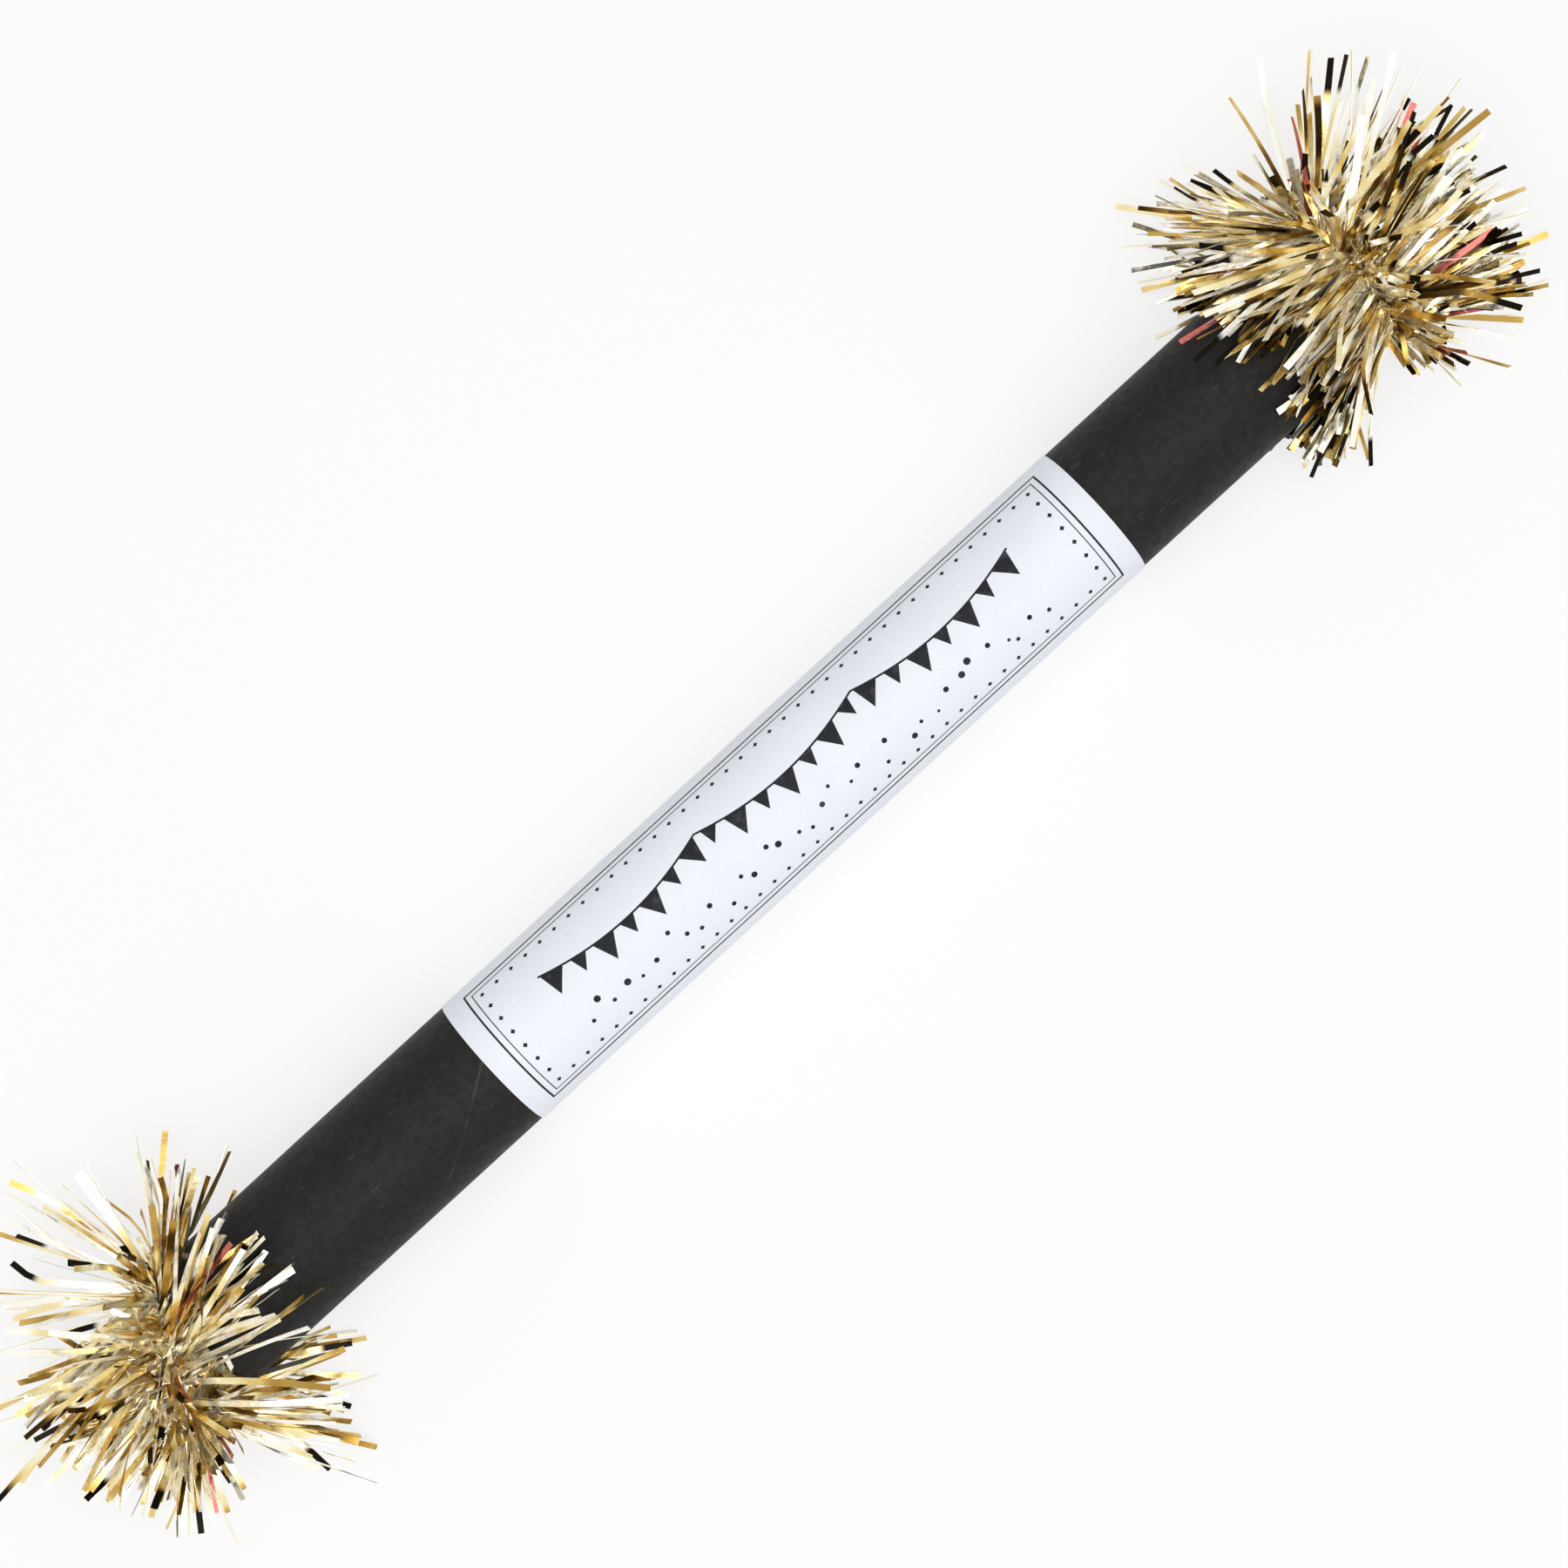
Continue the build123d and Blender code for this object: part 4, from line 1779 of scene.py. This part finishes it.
    def build(self, layer: Tree, foil: Material, wire: Material) -> None:
        """Build the core wire and the fringe, and put them on their tuft.

        Args:
            layer: The group that grows one layer of strands.
            foil: The strands' material.
            wire: The core wire's material.
        """
        label = self.side.label
        sizes = (self.tube.half_length, self.plug_depth, self.wreath_radius, self.wreath_offset)
        GarlandCore(self.side, *sizes, self.style.tilt).build(wire)
        values = self.values()
        fringe = grow(f"{label}_tinsel_fringe", self.fringe_tree(layer, foil, list(values)), values)
        smooth(fringe.data, STRAND_SHARP)
        mount(fringe, f"{label}_tuft", "tinsel", *(f"{label}_fringe_{part}" for part in self.FRINGES))


# Sparklers


@dataclass
class Sparkler:
    """One hand-held sparkler: a wire with a dipped coating on its front length."""

    number: int
    nose_radius: float = 1.2 * MM
    nose_length: float = 1.2 * MM
    runout_radius: float = 1.0 * MM
    runout_length: float = 4.0 * MM
    roughness: float = 0.11 * MM
    lump_scale: float = 160.0
    lump_share: float = 0.55
    grain_scale: float = 950.0
    grain_share: float = 0.6
    sink: float = 0.35
    noise_step: float = 7.3
    stations: int = 150
    coating_sides: int = 16
    wire_sides: int = 20
    end_ease: float = 0.25

    @property
    def body(self) -> str:
        """The sparkler's body in the frame."""
        return f"sparkler_{self.number:02d}"

    def ripple(self, place: Vector) -> float:
        """The lumps and grains of the dipped coating.

        Args:
            place: A place on the smooth coating.

        Returns:
            How far the coating stands out there.
        """
        shift = Vector((self.number * self.noise_step, 0.0, 0.0))
        lump = noise.noise(place * self.lump_scale + shift)
        grain = noise.noise(place * self.grain_scale + shift)
        return self.roughness * (self.lump_share * lump + self.grain_share * grain - self.sink)

    def reach(self, part: str) -> tuple[float, float, float, tuple[float, float]]:
        """Where a part lies.

        Args:
            part: The end of its node's name.

        Returns:
            Its first and last place along X, its radius and its middle line's Y and Z.
        """
        low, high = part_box(f"{self.body}_{part}")
        return low.x, high.x, (high.z - low.z) / 2, ((low.y + high.y) / 2, (low.z + high.z) / 2)

    def build_coating(self) -> Piece:
        """Build the coating, with its blunt nose and its thin run-out.

        Returns:
            The coating, not dressed yet.
        """
        front, back, radius, centre = self.reach("coating")
        first, last = front + self.nose_length, back - self.runout_length
        body = [(first + (last - first) * step / self.stations, radius) for step in range(self.stations + 1)]
        profile = [(front, 0.0), (front, self.nose_radius), *body, (back, self.runout_radius), (back, 0.0)]
        return turn_on_axis(f"{self.body}_dipped_coating", profile, self.coating_sides, centre, self.ripple)

    def build_wire(self) -> Piece:
        """Build the wire, with its cut ends eased.

        Returns:
            The wire, not dressed yet.
        """
        front, back, radius, centre = self.reach("wire")
        ease = radius * self.end_ease
        profile = [(front, 0.0), (front, radius - ease), (front + ease, radius)]
        profile += [(back - ease, radius), (back, radius - ease), (back, 0.0)]
        return turn_on_axis(f"{self.body}_drawn_wire", profile, self.wire_sides, centre)

    def build(self, coating: Material, wire: Material) -> None:
        """Build both pieces and put them on their body.

        Args:
            coating: The coating's material.
            wire: The wire's material.
        """
        pieces = {"coating": (self.build_coating(), coating), "wire": (self.build_wire(), wire)}
        for part, (piece, material) in pieces.items():
            dress(piece, material)
            mount(piece, self.body, f"sparkler_{part}", f"{self.body}_{part}")


# Studio


@dataclass
class Studio:
    """The pale floor, soft light and the camera that looks straight down."""

    ground: float
    camera_height: float = 0.807
    lens: float = 92.0
    sensor: float = 36.0
    clip: Span = (0.01, 50.0)
    aim: tuple[float, float] = (6.95 * MM, 1.67 * MM)
    roll: float = math.radians(-42.51)
    floor_radius: float = 12.0
    floor_sides: int = 96
    floor_colour: Colour = (0.93, 0.93, 0.93)
    floor_glow: float = 0.7
    floor_fade: Span = (0.4, 1.8)
    world_colour: Colour = (0.44, 0.44, 0.445)
    box_power: float = 12.0
    box_size: float = 1.5
    box_place: tuple[float, float, float] = (-0.1, -0.25, 1.1)

    @staticmethod
    def seen_directly(pen: Pen) -> Value:
        """Tell rays that come from the camera, from gloss or through glass.

        Args:
            pen: The pen of the tree that asks.

        Returns:
            One for such a ray, and nought for another.
        """
        path = pen.node("ShaderNodeLightPath")
        kinds = ("Camera", "Glossy", "Transmission")
        camera, gloss, glass = (Value(pen, path.outputs[f"Is {kind} Ray"]) for kind in kinds)
        return pen.larger(pen.larger(camera, gloss), glass)

    def build_floor(self) -> None:
        """A plain pale floor under the tube."""
        shape = bmesh.new()
        bmesh.ops.create_circle(shape, cap_ends=True, segments=self.floor_sides, radius=self.floor_radius)
        mesh = bpy.data.meshes.new("studio_floor")
        shape.to_mesh(mesh)
        shape.free()
        floor = make_object("studio_floor", mesh)
        floor.location.z = self.ground
        material = bpy.data.materials.new("floor_white")
        pen = Pen(cleared(material))
        matt = pen.add("ShaderNodeBsdfDiffuse", {"Color": self.floor_colour})
        glow = pen.add("ShaderNodeEmission", {"Color": WHITE, "Strength": 1.0})
        away = pen.length(pen.add("ShaderNodeTexCoord", output="Object"))
        share = self.seen_directly(pen) * pen.span(away, *self.floor_fade, self.floor_glow, 1.0)
        mixed = pen.add("ShaderNodeMixShader", {0: share, 1: matt, 2: glow})
        pen.node("ShaderNodeOutputMaterial", {"Surface": mixed})
        dress(floor, material)
        floor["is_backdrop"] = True

    def build_lights(self) -> None:
        """One large soft box overhead and an even room."""
        world = bpy.data.worlds.new("studio_room")
        pen = Pen(cleared(world))
        room = pen.add("ShaderNodeBackground", {"Color": self.world_colour, "Strength": 1.0})
        white = pen.add("ShaderNodeBackground", {"Color": WHITE, "Strength": 1.0})
        mixed = pen.add("ShaderNodeMixShader", {0: self.seen_directly(pen), 1: room, 2: white})
        pen.node("ShaderNodeOutputWorld", {"Surface": mixed})
        bpy.context.scene.world = world
        lamp = bpy.data.lights.new("soft_box", "AREA")
        lamp.shape = "SQUARE"
        lamp.size = self.box_size
        lamp.energy = self.box_power
        make_object("soft_box", lamp).location = self.box_place

    def build_camera(self) -> None:
        """The photograph's camera."""
        lens = bpy.data.cameras.new("photo_camera")
        lens.lens = self.lens
        lens.sensor_width = self.sensor
        lens.clip_start, lens.clip_end = self.clip
        camera = make_object("photo_camera", lens)
        camera.location = (*self.aim, self.camera_height)
        camera.rotation_euler = (0.0, 0.0, self.roll)
        bpy.context.scene.camera = camera
        bpy.context.scene.view_settings.view_transform = "Standard"

    def build(self) -> None:
        """Build the whole studio."""
        self.build_floor()
        self.build_lights()
        self.build_camera()


def main() -> None:
    """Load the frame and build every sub-assembly in order."""
    logging.basicConfig(level=logging.INFO, format="%(message)s")
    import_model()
    cad_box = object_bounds()
    effects = SharedEffects()
    wire = DrawnWire("drawn_steel_wire").build(effects)
    tube = CardTube.from_frame()
    tube.build(KraftBoard("wound_kraft_board").build(effects), BlackPaper("black_wrap_paper").build(effects))
    label = LabelBand.from_frame()
    label.build(LabelPaper("label_white_paper").build(effects), PrintInk("label_ink").build(effects))
    foil = TinselFoil("gold_tinsel_foil").build(effects)
    layer = TinselLayer().tree
    for side, style in STYLES.items():
        TinselTuft(side, tube, style).build(layer, foil, wire)
    coating = DippedCoating("dipped_coating").build(effects)
    for number in range(1, SPARKLER_COUNT + 1):
        Sparkler(number).build(coating, wire)
    Studio(cad_box[0].z).build()


if __name__ == "__main__":
    main()
